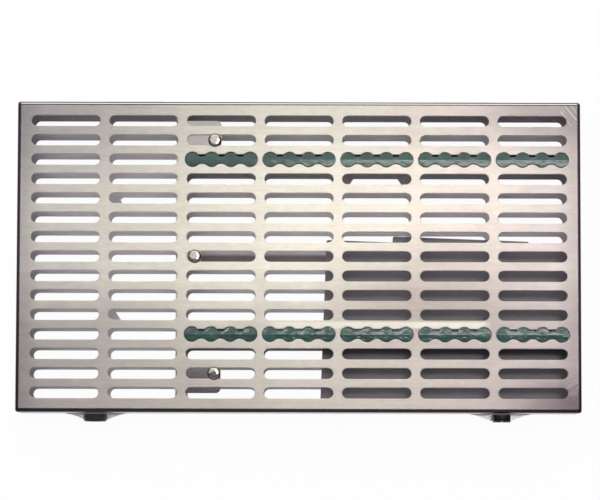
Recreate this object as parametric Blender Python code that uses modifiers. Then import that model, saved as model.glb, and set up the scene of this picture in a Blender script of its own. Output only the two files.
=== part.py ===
"""Dental instrument cassette: a slotted steel case for sterilising a set of hand instruments.

A base tray and a hinged lid, each one bent sheet with the same grille, meet edge to edge.
Silicone cradles in the base and silicone inserts in the lid hold the instruments. A divider
hangs from the lid by three rivets. Two turn latches sit on the lid's front wall.
X is the long side, +Y the hinge side, +Z up. Lengths are in metres.
"""

import math

import bmesh
import bpy
from mathutils import Matrix, Vector

# Case
CASE_LENGTH = 0.3386
CASE_DEPTH = 0.1868
CASE_HEIGHT = 0.0310
BASE_HEIGHT = 0.0163
SHEET = 0.0010
BEND_RADIUS = 0.0016
BEND_STEPS = 2
SEAM_GAP = 0.0003
SEAT_GAP = 0.0003
OVERRUN = 0.0010
WELD_DISTANCE = 0.00001

# Grille: rows count from the hinge side, columns from the left
COLUMNS = 7
ROWS = 15
SIDE_RIM = 0.0084
FRONT_RIM = 0.0084
COLUMN_WEB = 0.0054
ROW_WEB = 0.00525
SLOT_END_STEPS = 3
RAIL_ROWS = (3, 12)
RAIL_COLUMNS = (3, 4, 5, 6, 7)
BLANK_ROW = 8

# Base slots whose ends are clipped: (row, column, side of the slot, side away from the middle)
CLIPPED_ENDS = (
    (4, 5, -1, 1),
    (4, 5, 1, 1),
    (13, 5, -1, -1),
    (13, 5, 1, -1),
    (5, 2, -1, 1),
    (11, 2, -1, -1),
)
CLIP_DEEP = 0.0072
CLIP_SHALLOW = 0.0028

# Scalloped cut-outs and the silicone that fills them
LOBES = 4
LOBE_SPACING = 0.0022
CUT_OUT_WEB = 0.0029
REAR_NECK_SHARE = 0.67
FRONT_NECK_SHARE = 0.57
PLUG_NECK_SHARE = 0.45
LOBE_STEPS = 2
INSERT_SPACING = 0.0020
INSERT_LAP = 0.0006
CRADLE_HEIGHT = 0.0122
NOTCH_DEPTH = 0.0040
NOTCH_POST = 0.00305
NOTCH_SLOPE = 0.0017
HOLD_DOWN_CLEARANCE = 0.0044
GROOVE_DEPTH = 0.0012
GROOVE_MOUTH = 0.0056
GROOVE_FLOOR = 0.0030

# Divider, which shows by DIVIDER_PEEK at the slots' ends in its column, and its rivets
DIVIDER_COLUMN = 2
DIVIDER_PEEK = 0.0009
DIVIDER_FLOOR_CLEARANCE = 0.0014
DIVIDER_END_CLEARANCE = 0.0017
TAB_CORNER = 0.0030
TAB_CORNER_STEPS = 3
TAB_INSET = 0.0115
TAB_CLEARANCE = 0.00065
OUTER_TAB_REACH = 0.0266
MIDDLE_TAB_LENGTH = 0.0140
MIDDLE_TAB_REACH = 0.0143
OUTER_RIVET_REACH = 0.0226
MIDDLE_RIVET_REACH = 0.0107
RIVET_HEAD_RADIUS = 0.0040
RIVET_FACE_RADIUS = 0.0031
RIVET_HEAD_HEIGHT = 0.0011
RIVET_SHANK_RADIUS = 0.0020
RIVET_TAIL_RADIUS = 0.0032
RIVET_TAIL_HEIGHT = 0.0008

# Hinges
HINGE_INSET = 0.0693
HINGE_LENGTH = 0.0360
HINGE_OFFSET = 0.0004
LID_KNUCKLE_LENGTH = 0.0130
KNUCKLE_RADIUS = 0.0014
KNUCKLE_BORE_RADIUS = 0.0009
PIN_RADIUS = 0.0006
PIN_END = 0.0004
LEAF_SHEET = 0.0008
LEAF_HEIGHT = 0.0090
KNUCKLE_STEPS = 9

# Latches
LATCH_INSET = 0.0476
KNOB_RADIUS = 0.0072
KNOB_FLATS = 0.0102
KNOB_REACH = 0.0055
KNOB_BACK = 0.0007
KNOB_FRONT_FILLET = 0.0018
KNOB_BACK_FILLET = 0.0012
KNOB_BOSS_RADIUS = 0.00305
KNOB_SLOT_WIDTH = 0.0011
KNOB_SLOT_DEPTH = 0.0009
SHAFT_RADIUS = 0.0020
SHAFT_CLEARANCE = 0.0003
SHAFT_HEAD_RADIUS = 0.0034
SHAFT_HEAD_HEIGHT = 0.0008
CAM_SHEET = 0.0010
CAM_BOSS_RADIUS = 0.0033
CAM_BOSS_HEIGHT = 0.0010
CAM_HUB_RADIUS = 0.0042
CAM_TIP_RADIUS = 0.0022
CAM_REACH = 0.0115
LATCH_STEPS = 12
LIP_REACH = 0.0049
LIP_PEAK_HALF_WIDTH = 0.0022
LIP_FLANK = 0.0156
LIP_EDGE = 0.0004
LIP_STEPS = 4
LIP_FLANGE_HALF_WIDTH = 0.0100
LIP_FLANGE_HEIGHT = 0.0070

# Loose floor plate
PLATE_LENGTH = 0.1509
PLATE_DEPTH = 0.0990
PLATE_SHEET = 0.0008
PLATE_END_INSET = 0.0015
PLATE_FRONT_INSET = 0.0081
PLATE_SKEW_DEGREES = -2.1
PLATE_TAB_START = 0.0403
PLATE_TAB_LENGTH = 0.0831
PLATE_TAB_DEPTH = 0.0050
PLATE_SLIT_MARGIN = 0.0008

# Places that follow from the sizes above
HALF_LENGTH = CASE_LENGTH / 2
HALF_DEPTH = CASE_DEPTH / 2
LID_UNDERSIDE = CASE_HEIGHT - SHEET
LID_EDGE = BASE_HEIGHT + SEAM_GAP
COLUMN_PITCH = (CASE_LENGTH - 2 * SIDE_RIM + COLUMN_WEB) / COLUMNS
ROW_PITCH = (CASE_DEPTH - 2 * FRONT_RIM + ROW_WEB) / ROWS
SLOT_LENGTH = COLUMN_PITCH - COLUMN_WEB
SLOT_WIDTH = ROW_PITCH - ROW_WEB
LOBE_RADIUS = (COLUMN_PITCH - CUT_OUT_WEB - (LOBES - 1) * LOBE_SPACING) / (2 * LOBES)
LOBE_PITCH = 2 * LOBE_RADIUS + LOBE_SPACING
INSERT_LENGTH = COLUMN_PITCH - INSERT_SPACING
INSERT_WIDTH = 2 * (LOBE_RADIUS + INSERT_LAP)
NOTCH_MOUTH = LOBE_PITCH - NOTCH_POST
NOTCH_FLOOR = NOTCH_MOUTH - 2 * NOTCH_SLOPE
CLIP_FAR_REACH = SLOT_LENGTH / 2 - CLIP_DEEP
CLIP_NEAR_REACH = SLOT_LENGTH / 2 - CLIP_SHALLOW
HINGE_SPREAD = HALF_LENGTH - HINGE_INSET
LATCH_SPREAD = HALF_LENGTH - LATCH_INSET
HINGE_Y = HALF_DEPTH + HINGE_OFFSET
HINGE_Z = BASE_HEIGHT + SEAM_GAP / 2
HINGE_REACH = HINGE_OFFSET + KNUCKLE_RADIUS
LATCH_Z = (LID_EDGE + CASE_HEIGHT) / 2
CASE_CENTRE_Y = (KNOB_REACH - HINGE_REACH) / 2
INNER_FRONT_Y = -HALF_DEPTH + SHEET

PARTS_NAME = "dental_instrument_cassette"
CUTTERS_NAME = "cutters"
PIVOT_POINTS = {}


def new_collection(name):
    made = bpy.data.collections.new(name)
    bpy.context.scene.collection.children.link(made)
    return made


def new_material(name, colour, roughness, metallic):
    made = bpy.data.materials.new(name)
    made.use_nodes = True
    shader = made.node_tree.nodes["Principled BSDF"]
    shader.inputs["Base Color"].default_value = (*colour, 1)
    shader.inputs["Roughness"].default_value = roughness
    shader.inputs["Metallic"].default_value = metallic
    return made


def new_object(name, mesh, material, pivot):
    """A named piece in the case's own coordinates, carried by a pivot."""
    made = bpy.data.objects.new(name, mesh)
    bpy.data.collections[PARTS_NAME].objects.link(made)
    if material:
        mesh.materials.append(material)
    if pivot:
        made.parent = pivot
        made.matrix_parent_inverse = Matrix.Translation(-PIVOT_POINTS[pivot.name])
    return made


def new_pivot(name, point, parent=None):
    """An empty on a joint's axis, for the pieces that turn about it."""
    empty = bpy.data.objects.new(name, None)
    bpy.data.collections[PARTS_NAME].objects.link(empty)
    PIVOT_POINTS[name] = Vector(point)
    empty.parent = parent
    if parent:
        empty.location = PIVOT_POINTS[name] - PIVOT_POINTS[parent.name]
    else:
        empty.location = PIVOT_POINTS[name] + Vector((0, CASE_CENTRE_Y, 0))
    return empty


def shape(target, other, operation):
    """Cuts or joins a helper, given in the target's own coordinates, into the target."""
    modifier = target.modifiers.new(operation.lower(), "BOOLEAN")
    modifier.operation = operation
    modifier.object = other
    other.hide_render = True
    other.display_type = "WIRE"
    other.parent = target
    other.matrix_parent_inverse = Matrix.Identity(4)
    for holder in list(other.users_collection):
        holder.objects.unlink(other)
    bpy.data.collections[CUTTERS_NAME].objects.link(other)


def box_mesh(name, low, high):
    """A box between two corners."""
    low = Vector(low)
    high = Vector(high)
    builder = bmesh.new()
    bmesh.ops.create_cube(builder, size=1)
    bmesh.ops.scale(builder, vec=high - low, verts=builder.verts)
    bmesh.ops.translate(builder, vec=(low + high) / 2, verts=builder.verts)
    mesh = bpy.data.meshes.new(name)
    builder.to_mesh(mesh)
    builder.free()
    return mesh


def rod_mesh(name, centre, radius, length, axis, steps):
    """A round rod about an axis."""
    builder = bmesh.new()
    bmesh.ops.create_cone(
        builder, cap_ends=True, segments=steps, radius1=radius, radius2=radius, depth=length
    )
    turn = Vector((0, 0, 1)).rotation_difference(Vector(axis)).to_matrix().to_4x4()
    bmesh.ops.transform(builder, matrix=Matrix.Translation(centre) @ turn, verts=builder.verts)
    mesh = bpy.data.meshes.new(name)
    builder.to_mesh(mesh)
    builder.free()
    mesh.shade_smooth()
    mesh.set_sharp_from_angle(angle=math.radians(40))
    return mesh


def prism_mesh(name, outlines, start, end, frame=None):
    """Flat outlines, a hole where one lies in another, extruded from start to end.

    frame turns the outline's plane: by default it is XY and the extrusion runs along Z.
    """
    curve = bpy.data.curves.new(name, "CURVE")
    curve.dimensions = "2D"
    curve.fill_mode = "BOTH"
    curve.extrude = (end - start) / 2
    for outline in outlines:
        spline = curve.splines.new("POLY")
        spline.points.add(len(outline) - 1)
        for point, (x, y) in zip(spline.points, outline):
            point.co = (x, y, 0, 1)
        spline.use_cyclic_u = True
    drawn = bpy.data.objects.new(name, curve)
    bpy.context.scene.collection.objects.link(drawn)
    evaluated = drawn.evaluated_get(bpy.context.evaluated_depsgraph_get())
    mesh = bpy.data.meshes.new_from_object(evaluated)
    bpy.data.objects.remove(drawn)
    bpy.data.curves.remove(curve)
    builder = bmesh.new()
    builder.from_mesh(mesh)
    bmesh.ops.remove_doubles(builder, verts=builder.verts, dist=WELD_DISTANCE)
    bmesh.ops.translate(builder, vec=(0, 0, (start + end) / 2), verts=builder.verts)
    if frame:
        bmesh.ops.transform(builder, matrix=frame, verts=builder.verts)
    bmesh.ops.recalc_face_normals(builder, faces=builder.faces)
    builder.to_mesh(mesh)
    builder.free()
    mesh.materials.clear()
    return mesh


def turned(name, profile, steps, material, pivot):
    """A round piece: a profile of (radius, height) points, top to bottom, turned about Z."""
    mesh = bpy.data.meshes.new(name)
    points = [(radius, 0, height) for radius, height in profile]
    mesh.from_pydata(points, [(i, i + 1) for i in range(len(points) - 1)], [])
    made = new_object(name, mesh, material, pivot)
    screw = made.modifiers.new("turn", "SCREW")
    screw.steps = steps
    screw.render_steps = steps
    screw.use_merge_vertices = True
    screw.merge_threshold = WELD_DISTANCE
    return made


def arc(centre, radius, start, end, steps):
    """Points on an arc, both ends included. Angles are in radians."""
    angles = [start + (end - start) * i / steps for i in range(steps + 1)]
    return [(centre[0] + radius * math.cos(a), centre[1] + radius * math.sin(a)) for a in angles]


def circle(centre, radius, steps):
    return arc(centre, radius, 0, 2 * math.pi, steps)[:-1]


def rectangle(low, high):
    return [low, (high[0], low[1]), high, (low[0], high[1])]


def column_x(column):
    return (column - (COLUMNS + 1) / 2) * COLUMN_PITCH


def row_y(row):
    return ((ROWS + 1) / 2 - row) * ROW_PITCH


def slot(row, column, clipped):
    """A slot with round ends, or with an end cut across where a corner web crosses it."""
    x = column_x(column)
    y = row_y(row)
    radius = SLOT_WIDTH / 2
    points = []
    for side in (1, -1):
        ends = [entry for entry in clipped if entry[:3] == (row, column, side)]
        if ends:
            far = ends[0][3]
            reach = {far: CLIP_FAR_REACH, -far: CLIP_NEAR_REACH}
            points.append((x + side * reach[-side], y - side * radius))
            points.append((x + side * reach[side], y + side * radius))
            continue
        centre = (x + side * (SLOT_LENGTH / 2 - radius), y)
        start = -side * math.pi / 2
        points += arc(centre, radius, start, start + math.pi, SLOT_END_STEPS)
    return points


def lobe_row(radius, neck, straight):
    """One side of a row of lobes, left to right, above its middle line.

    Straight necks run from lobe to lobe; otherwise each neck's fillet runs tangent into the lobes.
    """
    half = LOBE_PITCH / 2
    fillet = (half**2 + neck**2 - radius**2) / (2 * (radius - neck))
    meeting = math.asin(neck / radius) if straight else math.atan2(neck + fillet, half)
    side = []
    for lobe in range(LOBES):
        x = (lobe - (LOBES - 1) / 2) * LOBE_PITCH
        start, end, steps = math.pi - meeting, meeting, LOBE_STEPS
        if lobe == 0:
            start, steps = math.pi, LOBE_STEPS + 1
        if lobe == LOBES - 1:
            end, steps = 0, LOBE_STEPS + 1
        side += arc((x, 0), radius, start, end, steps)
        if lobe < LOBES - 1 and not straight:
            side.append((x + half, neck))
    return side


def lobed_outline(centre, rear, front):
    """A closed outline from its rear side and its mirrored front side."""
    points = rear + [(x, -y) for x, y in reversed(front[1:-1])]
    return [(centre[0] + x, centre[1] + y) for x, y in points]


def cut_out(centre):
    """The lobed opening in a sheet: straight necks on the rear side, a wave on the front."""
    rear = lobe_row(LOBE_RADIUS, LOBE_RADIUS * REAR_NECK_SHARE, True)
    front = lobe_row(LOBE_RADIUS, LOBE_RADIUS * FRONT_NECK_SHARE, False)
    return lobed_outline(centre, rear, front)


def plug_outline(centre):
    """What fills the lobes: its straight rear necks leave a part of each opening free."""
    radius = LOBE_RADIUS - SEAT_GAP
    rear = lobe_row(radius, LOBE_RADIUS * PLUG_NECK_SHARE, True)
    front = lobe_row(radius, LOBE_RADIUS * FRONT_NECK_SHARE - SEAT_GAP, False)
    return lobed_outline(centre, rear, front)


def grille(low, high, clipped, blank_row):
    """The cutter for one pan's slots and scalloped cut-outs."""
    outlines = []
    for row in range(1, ROWS + 1):
        for column in range(1, COLUMNS + 1):
            if row in RAIL_ROWS and column in RAIL_COLUMNS:
                outlines.append(cut_out((column_x(column), row_y(row))))
            elif not (row == blank_row and column in RAIL_COLUMNS):
                outlines.append(slot(row, column, clipped))
    return prism_mesh("grille", outlines, low, high)


def pan(name, low, high, open_side, material, pivot):
    """One bent sheet: a box with one side open, its bends rounded, as thick as the sheet."""
    builder = bmesh.new()
    bmesh.ops.create_cube(builder, size=1)
    size = Vector((CASE_LENGTH, CASE_DEPTH, high - low))
    bmesh.ops.scale(builder, vec=size, verts=builder.verts)
    bmesh.ops.translate(builder, vec=(0, 0, (low + high) / 2), verts=builder.verts)
    open_face = max(builder.faces, key=lambda face: open_side * face.calc_center_median().z)
    bmesh.ops.delete(builder, geom=[open_face], context="FACES_ONLY")
    bends = [edge for edge in builder.edges if not edge.is_boundary]
    bmesh.ops.bevel(
        builder, geom=bends, offset=BEND_RADIUS, segments=BEND_STEPS, profile=0.5, affect="EDGES"
    )
    mesh = bpy.data.meshes.new(name)
    builder.to_mesh(mesh)
    builder.free()
    made = new_object(name, mesh, material, pivot)
    thickness = made.modifiers.new("sheet", "SOLIDIFY")
    thickness.thickness = SHEET
    thickness.offset = -1
    thickness.use_even_offset = True
    return made


def cut_hinge_notches(target):
    """Openings in the rear wall where the hinge knuckles pass through."""
    half_length = HINGE_LENGTH / 2 + SEAT_GAP
    half_height = KNUCKLE_RADIUS + SEAT_GAP
    for side in (-1, 1):
        centre = side * HINGE_SPREAD
        low = (centre - half_length, HALF_DEPTH - SHEET - OVERRUN, HINGE_Z - half_height)
        high = (centre + half_length, HALF_DEPTH + OVERRUN, HINGE_Z + half_height)
        shape(target, new_object("hinge_notch", box_mesh("hinge_notch", low, high), None, None),
              "DIFFERENCE")


def base_tray(material, pivot):
    made = pan("base_tray", 0, BASE_HEIGHT, 1, material, pivot)
    cutter = grille(-OVERRUN, SHEET + OVERRUN, CLIPPED_ENDS, BLANK_ROW)
    shape(made, new_object("base_grille", cutter, None, None), "DIFFERENCE")
    cut_hinge_notches(made)


def lid(material, pivot):
    made = pan("lid", LID_EDGE, CASE_HEIGHT, -1, material, pivot)
    cutter = grille(LID_UNDERSIDE - OVERRUN, CASE_HEIGHT + OVERRUN, (), None)
    shape(made, new_object("lid_grille", cutter, None, None), "DIFFERENCE")
    cut_hinge_notches(made)
    for side in (-1, 1):
        centre = (side * LATCH_SPREAD, -HALF_DEPTH + SHEET / 2, LATCH_Z)
        radius = SHAFT_RADIUS + SHAFT_CLEARANCE
        hole = rod_mesh("shaft_hole", centre, radius, SHEET + 2 * OVERRUN, (0, 1, 0), LATCH_STEPS)
        shape(made, new_object("shaft_hole", hole, None, None), "DIFFERENCE")


def lobe_places():
    """X of each lobe's middle, from the middle of its insert."""
    return [(lobe - (LOBES - 1) / 2) * LOBE_PITCH for lobe in range(LOBES)]


def notch(x, face, depth, mouth, floor):
    """Side view of a notch cut up or down from a level face, by the sign of its depth."""
    flare = (mouth - floor) / 2 * OVERRUN / abs(depth)
    past = face - math.copysign(OVERRUN, depth)
    return [
        (x - mouth / 2 - flare, past),
        (x - floor / 2, face + depth),
        (x + floor / 2, face + depth),
        (x + mouth / 2 + flare, past),
    ]


def insert(name, centre, low, high, notches, plug_low, plug_high, material, pivot):
    """A silicone bar notched across its length, with the lobed plug that fills its cut-out."""
    reach = Vector((INSERT_LENGTH / 2, INSERT_WIDTH / 2))
    bar = box_mesh(name, (*(centre - reach), low), (*(centre + reach), high))
    made = new_object(name, bar, material, pivot)
    along_y = Matrix.Translation((*centre, 0)) @ Matrix.Rotation(math.pi / 2, 4, "X")
    half = INSERT_WIDTH / 2 + OVERRUN
    cutter = prism_mesh("notches", notches, -half, half, along_y)
    shape(made, new_object("notches", cutter, None, None), "DIFFERENCE")
    plug = prism_mesh("plug", [plug_outline(centre)], plug_low, plug_high)
    shape(made, new_object("plug", plug, None, None), "UNION")


def inserts(material, base_pivot, lid_pivot):
    """Cradles notched for the instruments, and hold-downs grooved between them."""
    low = SHEET + SEAT_GAP
    top = low + CRADLE_HEIGHT
    pads = top + HOLD_DOWN_CLEARANCE
    hanging = LID_UNDERSIDE - SEAT_GAP
    notches = [notch(x, top, -NOTCH_DEPTH, NOTCH_MOUTH, NOTCH_FLOOR) for x in lobe_places()]
    grooves = [
        notch(x - LOBE_PITCH / 2, pads, GROOVE_DEPTH, GROOVE_MOUTH, GROOVE_FLOOR)
        for x in lobe_places()[1:]
    ]
    for rail, row in zip(("rear", "front"), RAIL_ROWS):
        for number, column in enumerate(RAIL_COLUMNS, 1):
            centre = Vector((column_x(column), row_y(row)))
            insert(f"cradle_{rail}_{number}", centre, low, top, notches,
                   SEAT_GAP, low + OVERRUN, material, base_pivot)
            insert(f"lid_insert_{rail}_{number}", centre, pads, hanging, grooves,
                   hanging - OVERRUN, CASE_HEIGHT - SEAT_GAP / 2, material, lid_pivot)


def divider_x():
    """The divider's middle: it peeks out by a little at the right ends of its column's slots."""
    return column_x(DIVIDER_COLUMN) + SLOT_LENGTH / 2 - DIVIDER_PEEK + SHEET / 2


def tab_outline(reach, low, high):
    """A divider tab in plan, with its two free corners rounded."""
    start = divider_x() - SHEET / 2
    x = divider_x() + reach
    quarter = math.pi / 2
    points = [(start, high), (start, low)]
    points += arc((x - TAB_CORNER, low + TAB_CORNER), TAB_CORNER, -quarter, 0, TAB_CORNER_STEPS)
    points += arc((x - TAB_CORNER, high - TAB_CORNER), TAB_CORNER, 0, quarter, TAB_CORNER_STEPS)
    return points


def rivet_places():
    """Name and place of each rivet, in the slots of the second, middle and second-last rows."""
    return (
        ("rear", divider_x() + OUTER_RIVET_REACH, row_y(2)),
        ("middle", divider_x() + MIDDLE_RIVET_REACH, row_y((ROWS + 1) // 2)),
        ("front", divider_x() + OUTER_RIVET_REACH, row_y(ROWS - 1)),
    )


def divider(material, pivot):
    """The wall between the two bays, hung from the lid by three tabs."""
    top = LID_UNDERSIDE - SEAT_GAP
    half = HALF_DEPTH - SHEET - DIVIDER_END_CLEARANCE
    low = (divider_x() - SHEET / 2, -half, SHEET + DIVIDER_FLOOR_CLEARANCE)
    high = (divider_x() + SHEET / 2, half, top)
    made = new_object("divider", box_mesh("divider", low, high), material, pivot)
    outer = HALF_DEPTH - TAB_INSET
    inner = row_y(RAIL_ROWS[0]) + INSERT_WIDTH / 2 + TAB_CLEARANCE
    tabs = (
        (OUTER_TAB_REACH, inner, outer),
        (MIDDLE_TAB_REACH, -MIDDLE_TAB_LENGTH / 2, MIDDLE_TAB_LENGTH / 2),
        (OUTER_TAB_REACH, -outer, -inner),
    )
    for reach, start, end in tabs:
        tab = prism_mesh("divider_tab", [tab_outline(reach, start, end)], top - SHEET, top)
        shape(made, new_object("divider_tab", tab, None, None), "UNION")
    for _, x, y in rivet_places():
        radius = RIVET_SHANK_RADIUS + SEAT_GAP
        hole = rod_mesh("rivet_hole", (x, y, top), radius, 2 * SHEET + 2 * OVERRUN, (0, 0, 1),
                        LATCH_STEPS)
        shape(made, new_object("rivet_hole", hole, None, None), "DIFFERENCE")


def rivets(material, pivot):
    """Rivets whose flat heads are wider than the slots they stand in."""
    under_head = CASE_HEIGHT + SEAT_GAP
    top = under_head + RIVET_HEAD_HEIGHT
    tail = LID_UNDERSIDE - SEAT_GAP - SHEET - SEAT_GAP
    fillet = RIVET_HEAD_RADIUS - RIVET_FACE_RADIUS
    rim = arc((RIVET_FACE_RADIUS, top - fillet), fillet, math.pi / 2, 0, 1)
    profile = [(0, top)] + rim
    profile += [(RIVET_HEAD_RADIUS, under_head), (RIVET_SHANK_RADIUS, under_head)]
    profile += [(RIVET_SHANK_RADIUS, tail), (RIVET_TAIL_RADIUS, tail)]
    profile += [(RIVET_SHANK_RADIUS, tail - RIVET_TAIL_HEIGHT), (0, tail - RIVET_TAIL_HEIGHT)]
    for name, x, y in rivet_places():
        made = turned(f"divider_rivet_{name}", profile, LATCH_STEPS, material, pivot)
        made.location = (x, y, 0)


def leaf_outline(up):
    """A leaf in the YZ plane: up inside the wall, out over its edge and round the pin."""
    leaf_outer = HALF_DEPTH - SHEET - SEAT_GAP
    leaf_inner = leaf_outer - LEAF_SHEET
    turn = up * math.pi / 2
    roll = arc((HINGE_Y, HINGE_Z), KNUCKLE_RADIUS, turn - up * 1.5 * math.pi, turn, KNUCKLE_STEPS)
    foot = HINGE_Z + up * LEAF_HEIGHT
    crook = HINGE_Z + up * (KNUCKLE_RADIUS - LEAF_SHEET)
    points = [(leaf_inner, foot), (leaf_inner, crook), (HINGE_Y - KNUCKLE_RADIUS, crook)]
    return points + roll + [(leaf_outer, HINGE_Z + up * KNUCKLE_RADIUS), (leaf_outer, foot)]


def hinge_leaf(name, centre_x, up, spaces, material, pivot):
    """A leaf inside the rear wall, cut back where the other leaf's knuckles turn.

    up is 1 on the lid and -1 on the base; spaces are the cut stretches along X.
    """
    yz_plane = Matrix(((0, 0, 1, 0), (1, 0, 0, 0), (0, 1, 0, 0), (0, 0, 0, 1)))
    yz_plane = Matrix.Translation((centre_x, 0, 0)) @ yz_plane
    bore = circle((HINGE_Y, HINGE_Z), KNUCKLE_BORE_RADIUS, KNUCKLE_STEPS)
    sheet = prism_mesh(name, [leaf_outline(up), bore], -HINGE_LENGTH / 2, HINGE_LENGTH / 2, yz_plane)
    made = new_object(name, sheet, material, pivot)
    edges = (
        HINGE_Z - up * (KNUCKLE_RADIUS + OVERRUN),
        HINGE_Z + up * (KNUCKLE_RADIUS + SEAT_GAP),
    )
    inner = HALF_DEPTH - SHEET - SEAT_GAP - LEAF_SHEET - OVERRUN
    outer = HINGE_Y + KNUCKLE_RADIUS + OVERRUN
    for start, end in spaces:
        low = (centre_x + start, inner, min(edges))
        high = (centre_x + end, outer, max(edges))
        space = box_mesh("knuckle_space", low, high)
        shape(made, new_object("knuckle_space", space, None, None), "DIFFERENCE")


def hinges(material, base_pivot, lid_pivot):
    """Two butt hinges inside the rear walls, their pins just outside the seam."""
    half = HINGE_LENGTH / 2
    middle = LID_KNUCKLE_LENGTH / 2
    middle_space = ((-middle - SEAT_GAP, middle + SEAT_GAP),)
    end_spaces = ((-half - OVERRUN, -middle), (middle, half + OVERRUN))
    pin_length = HINGE_LENGTH + 2 * PIN_END - 2 * SEAT_GAP
    for side, name in ((-1, "left"), (1, "right")):
        x = side * HINGE_SPREAD
        hinge_leaf(f"hinge_base_leaf_{name}", x, -1, middle_space, material, base_pivot)
        hinge_leaf(f"hinge_lid_leaf_{name}", x, 1, end_spaces, material, lid_pivot)
        pin = rod_mesh("pin", (x, HINGE_Y, HINGE_Z), PIN_RADIUS, pin_length, (1, 0, 0),
                       KNUCKLE_STEPS)
        new_object(f"hinge_pin_{name}", pin, material, base_pivot)


def knob_profile():
    """From the knob's face down to the riveted end behind the cam. Height 0 is the wall's face."""
    quarter = math.pi / 2
    cam_back = -(SHEET + SEAT_GAP + CAM_BOSS_HEIGHT + CAM_SHEET + SEAT_GAP)
    front = (KNOB_RADIUS - KNOB_FRONT_FILLET, KNOB_REACH - KNOB_FRONT_FILLET)
    back = (KNOB_RADIUS - KNOB_BACK_FILLET, KNOB_BACK + KNOB_BACK_FILLET)
    profile = [(0, KNOB_REACH)]
    profile += arc(front, KNOB_FRONT_FILLET, quarter, 0, 2)
    profile += arc(back, KNOB_BACK_FILLET, 0, -quarter, 1)
    profile += [(KNOB_BOSS_RADIUS, KNOB_BACK), (KNOB_BOSS_RADIUS, SEAT_GAP)]
    profile += [(SHAFT_RADIUS, SEAT_GAP), (SHAFT_RADIUS, cam_back)]
    profile += [(SHAFT_HEAD_RADIUS, cam_back)]
    return profile + [(SHAFT_RADIUS, cam_back - SHAFT_HEAD_HEIGHT), (0, cam_back - SHAFT_HEAD_HEIGHT)]


def cam_outline():
    """A hub and a smaller tip along +X, joined by their common tangents."""
    centre_gap = CAM_REACH - CAM_TIP_RADIUS
    lean = math.acos((CAM_HUB_RADIUS - CAM_TIP_RADIUS) / centre_gap)
    outline = arc((0, 0), CAM_HUB_RADIUS, lean, 2 * math.pi - lean, 6)
    return outline + arc((centre_gap, 0), CAM_TIP_RADIUS, -lean, lean, 4)


def latch(name, side, quarter_turns, material, pivot):
    """A knob, with two flats and a slot, on a shaft through the lid's wall, and a cam behind it.

    quarter_turns turns knob and cam together, so that the two latches stand differently.
    """
    centre = Vector((side * LATCH_SPREAD, -HALF_DEPTH, LATCH_Z))
    turn = (math.pi / 2, quarter_turns * math.pi / 2, 0)
    knob = turned(f"latch_knob_{name}", knob_profile(), LATCH_STEPS, material, pivot)
    knob.location = centre
    knob.rotation_euler = turn
    for flat in (-1, 1):
        inner = flat * KNOB_FLATS / 2
        outer = flat * (KNOB_RADIUS + OVERRUN)
        low = (-KNOB_RADIUS - OVERRUN, min(inner, outer), SEAT_GAP + OVERRUN / 4)
        high = (KNOB_RADIUS + OVERRUN, max(inner, outer), KNOB_REACH + OVERRUN)
        shape(knob, new_object("knob_flat", box_mesh("knob_flat", low, high), None, None),
              "DIFFERENCE")
    low = (-KNOB_RADIUS - OVERRUN, -KNOB_SLOT_WIDTH / 2, KNOB_REACH - KNOB_SLOT_DEPTH)
    high = (KNOB_RADIUS + OVERRUN, KNOB_SLOT_WIDTH / 2, KNOB_REACH + OVERRUN)
    slot_box = box_mesh("knob_slot", low, high)
    shape(knob, new_object("knob_slot", slot_box, None, None), "DIFFERENCE")
    front = -(SHEET + SEAT_GAP)
    seat = front - CAM_BOSS_HEIGHT
    plate = prism_mesh("cam", [cam_outline()], seat - CAM_SHEET, seat)
    cam = new_object(f"latch_cam_{name}", plate, material, pivot)
    boss = prism_mesh("cam_boss", [circle((0, 0), CAM_BOSS_RADIUS, LATCH_STEPS)],
                      seat - CAM_SHEET / 2, front)
    shape(cam, new_object("cam_boss", boss, None, None), "UNION")
    bore = circle((0, 0), SHAFT_RADIUS + SEAT_GAP, KNUCKLE_STEPS)
    bore = prism_mesh("cam_bore", [bore], seat - CAM_SHEET - OVERRUN, front + OVERRUN)
    shape(cam, new_object("cam_bore", bore, None, None), "DIFFERENCE")
    cam.location = centre
    cam.rotation_euler = turn


def lip_outline():
    """Bell-shaped lip in plan: an ogee flank on each side of a flat peak."""
    half = LIP_PEAK_HALF_WIDTH + LIP_FLANK
    rise = LIP_REACH - SEAT_GAP - LIP_EDGE
    right = []
    for i in range(LIP_STEPS + 1):
        t = i / LIP_STEPS
        fade = 1 - t * t * (3 - 2 * t)
        right.append((LIP_PEAK_HALF_WIDTH + t * LIP_FLANK, -SEAT_GAP - LIP_EDGE - rise * fade))
    left = [(-x, y) for x, y in reversed(right)]
    return left + right + [(half, -SEAT_GAP), (-half, -SEAT_GAP)]


def latch_lip(name, side, material, pivot):
    """A bell-shaped lip on a flange against the base's front wall, under a knob."""
    centre = Matrix.Translation((side * LATCH_SPREAD, -HALF_DEPTH, 0))
    top = BASE_HEIGHT
    plate = prism_mesh("lip", [lip_outline()], top - SHEET, top, centre)
    made = new_object(f"latch_lip_{name}", plate, material, pivot)
    low = (-LIP_FLANGE_HALF_WIDTH, -SEAT_GAP - LEAF_SHEET, top - LIP_FLANGE_HEIGHT)
    high = (LIP_FLANGE_HALF_WIDTH, -SEAT_GAP, top - SHEET / 2)
    flange = box_mesh("lip_flange", low, high)
    flange.transform(centre)
    shape(made, new_object("lip_flange", flange, None, None), "UNION")


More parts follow.
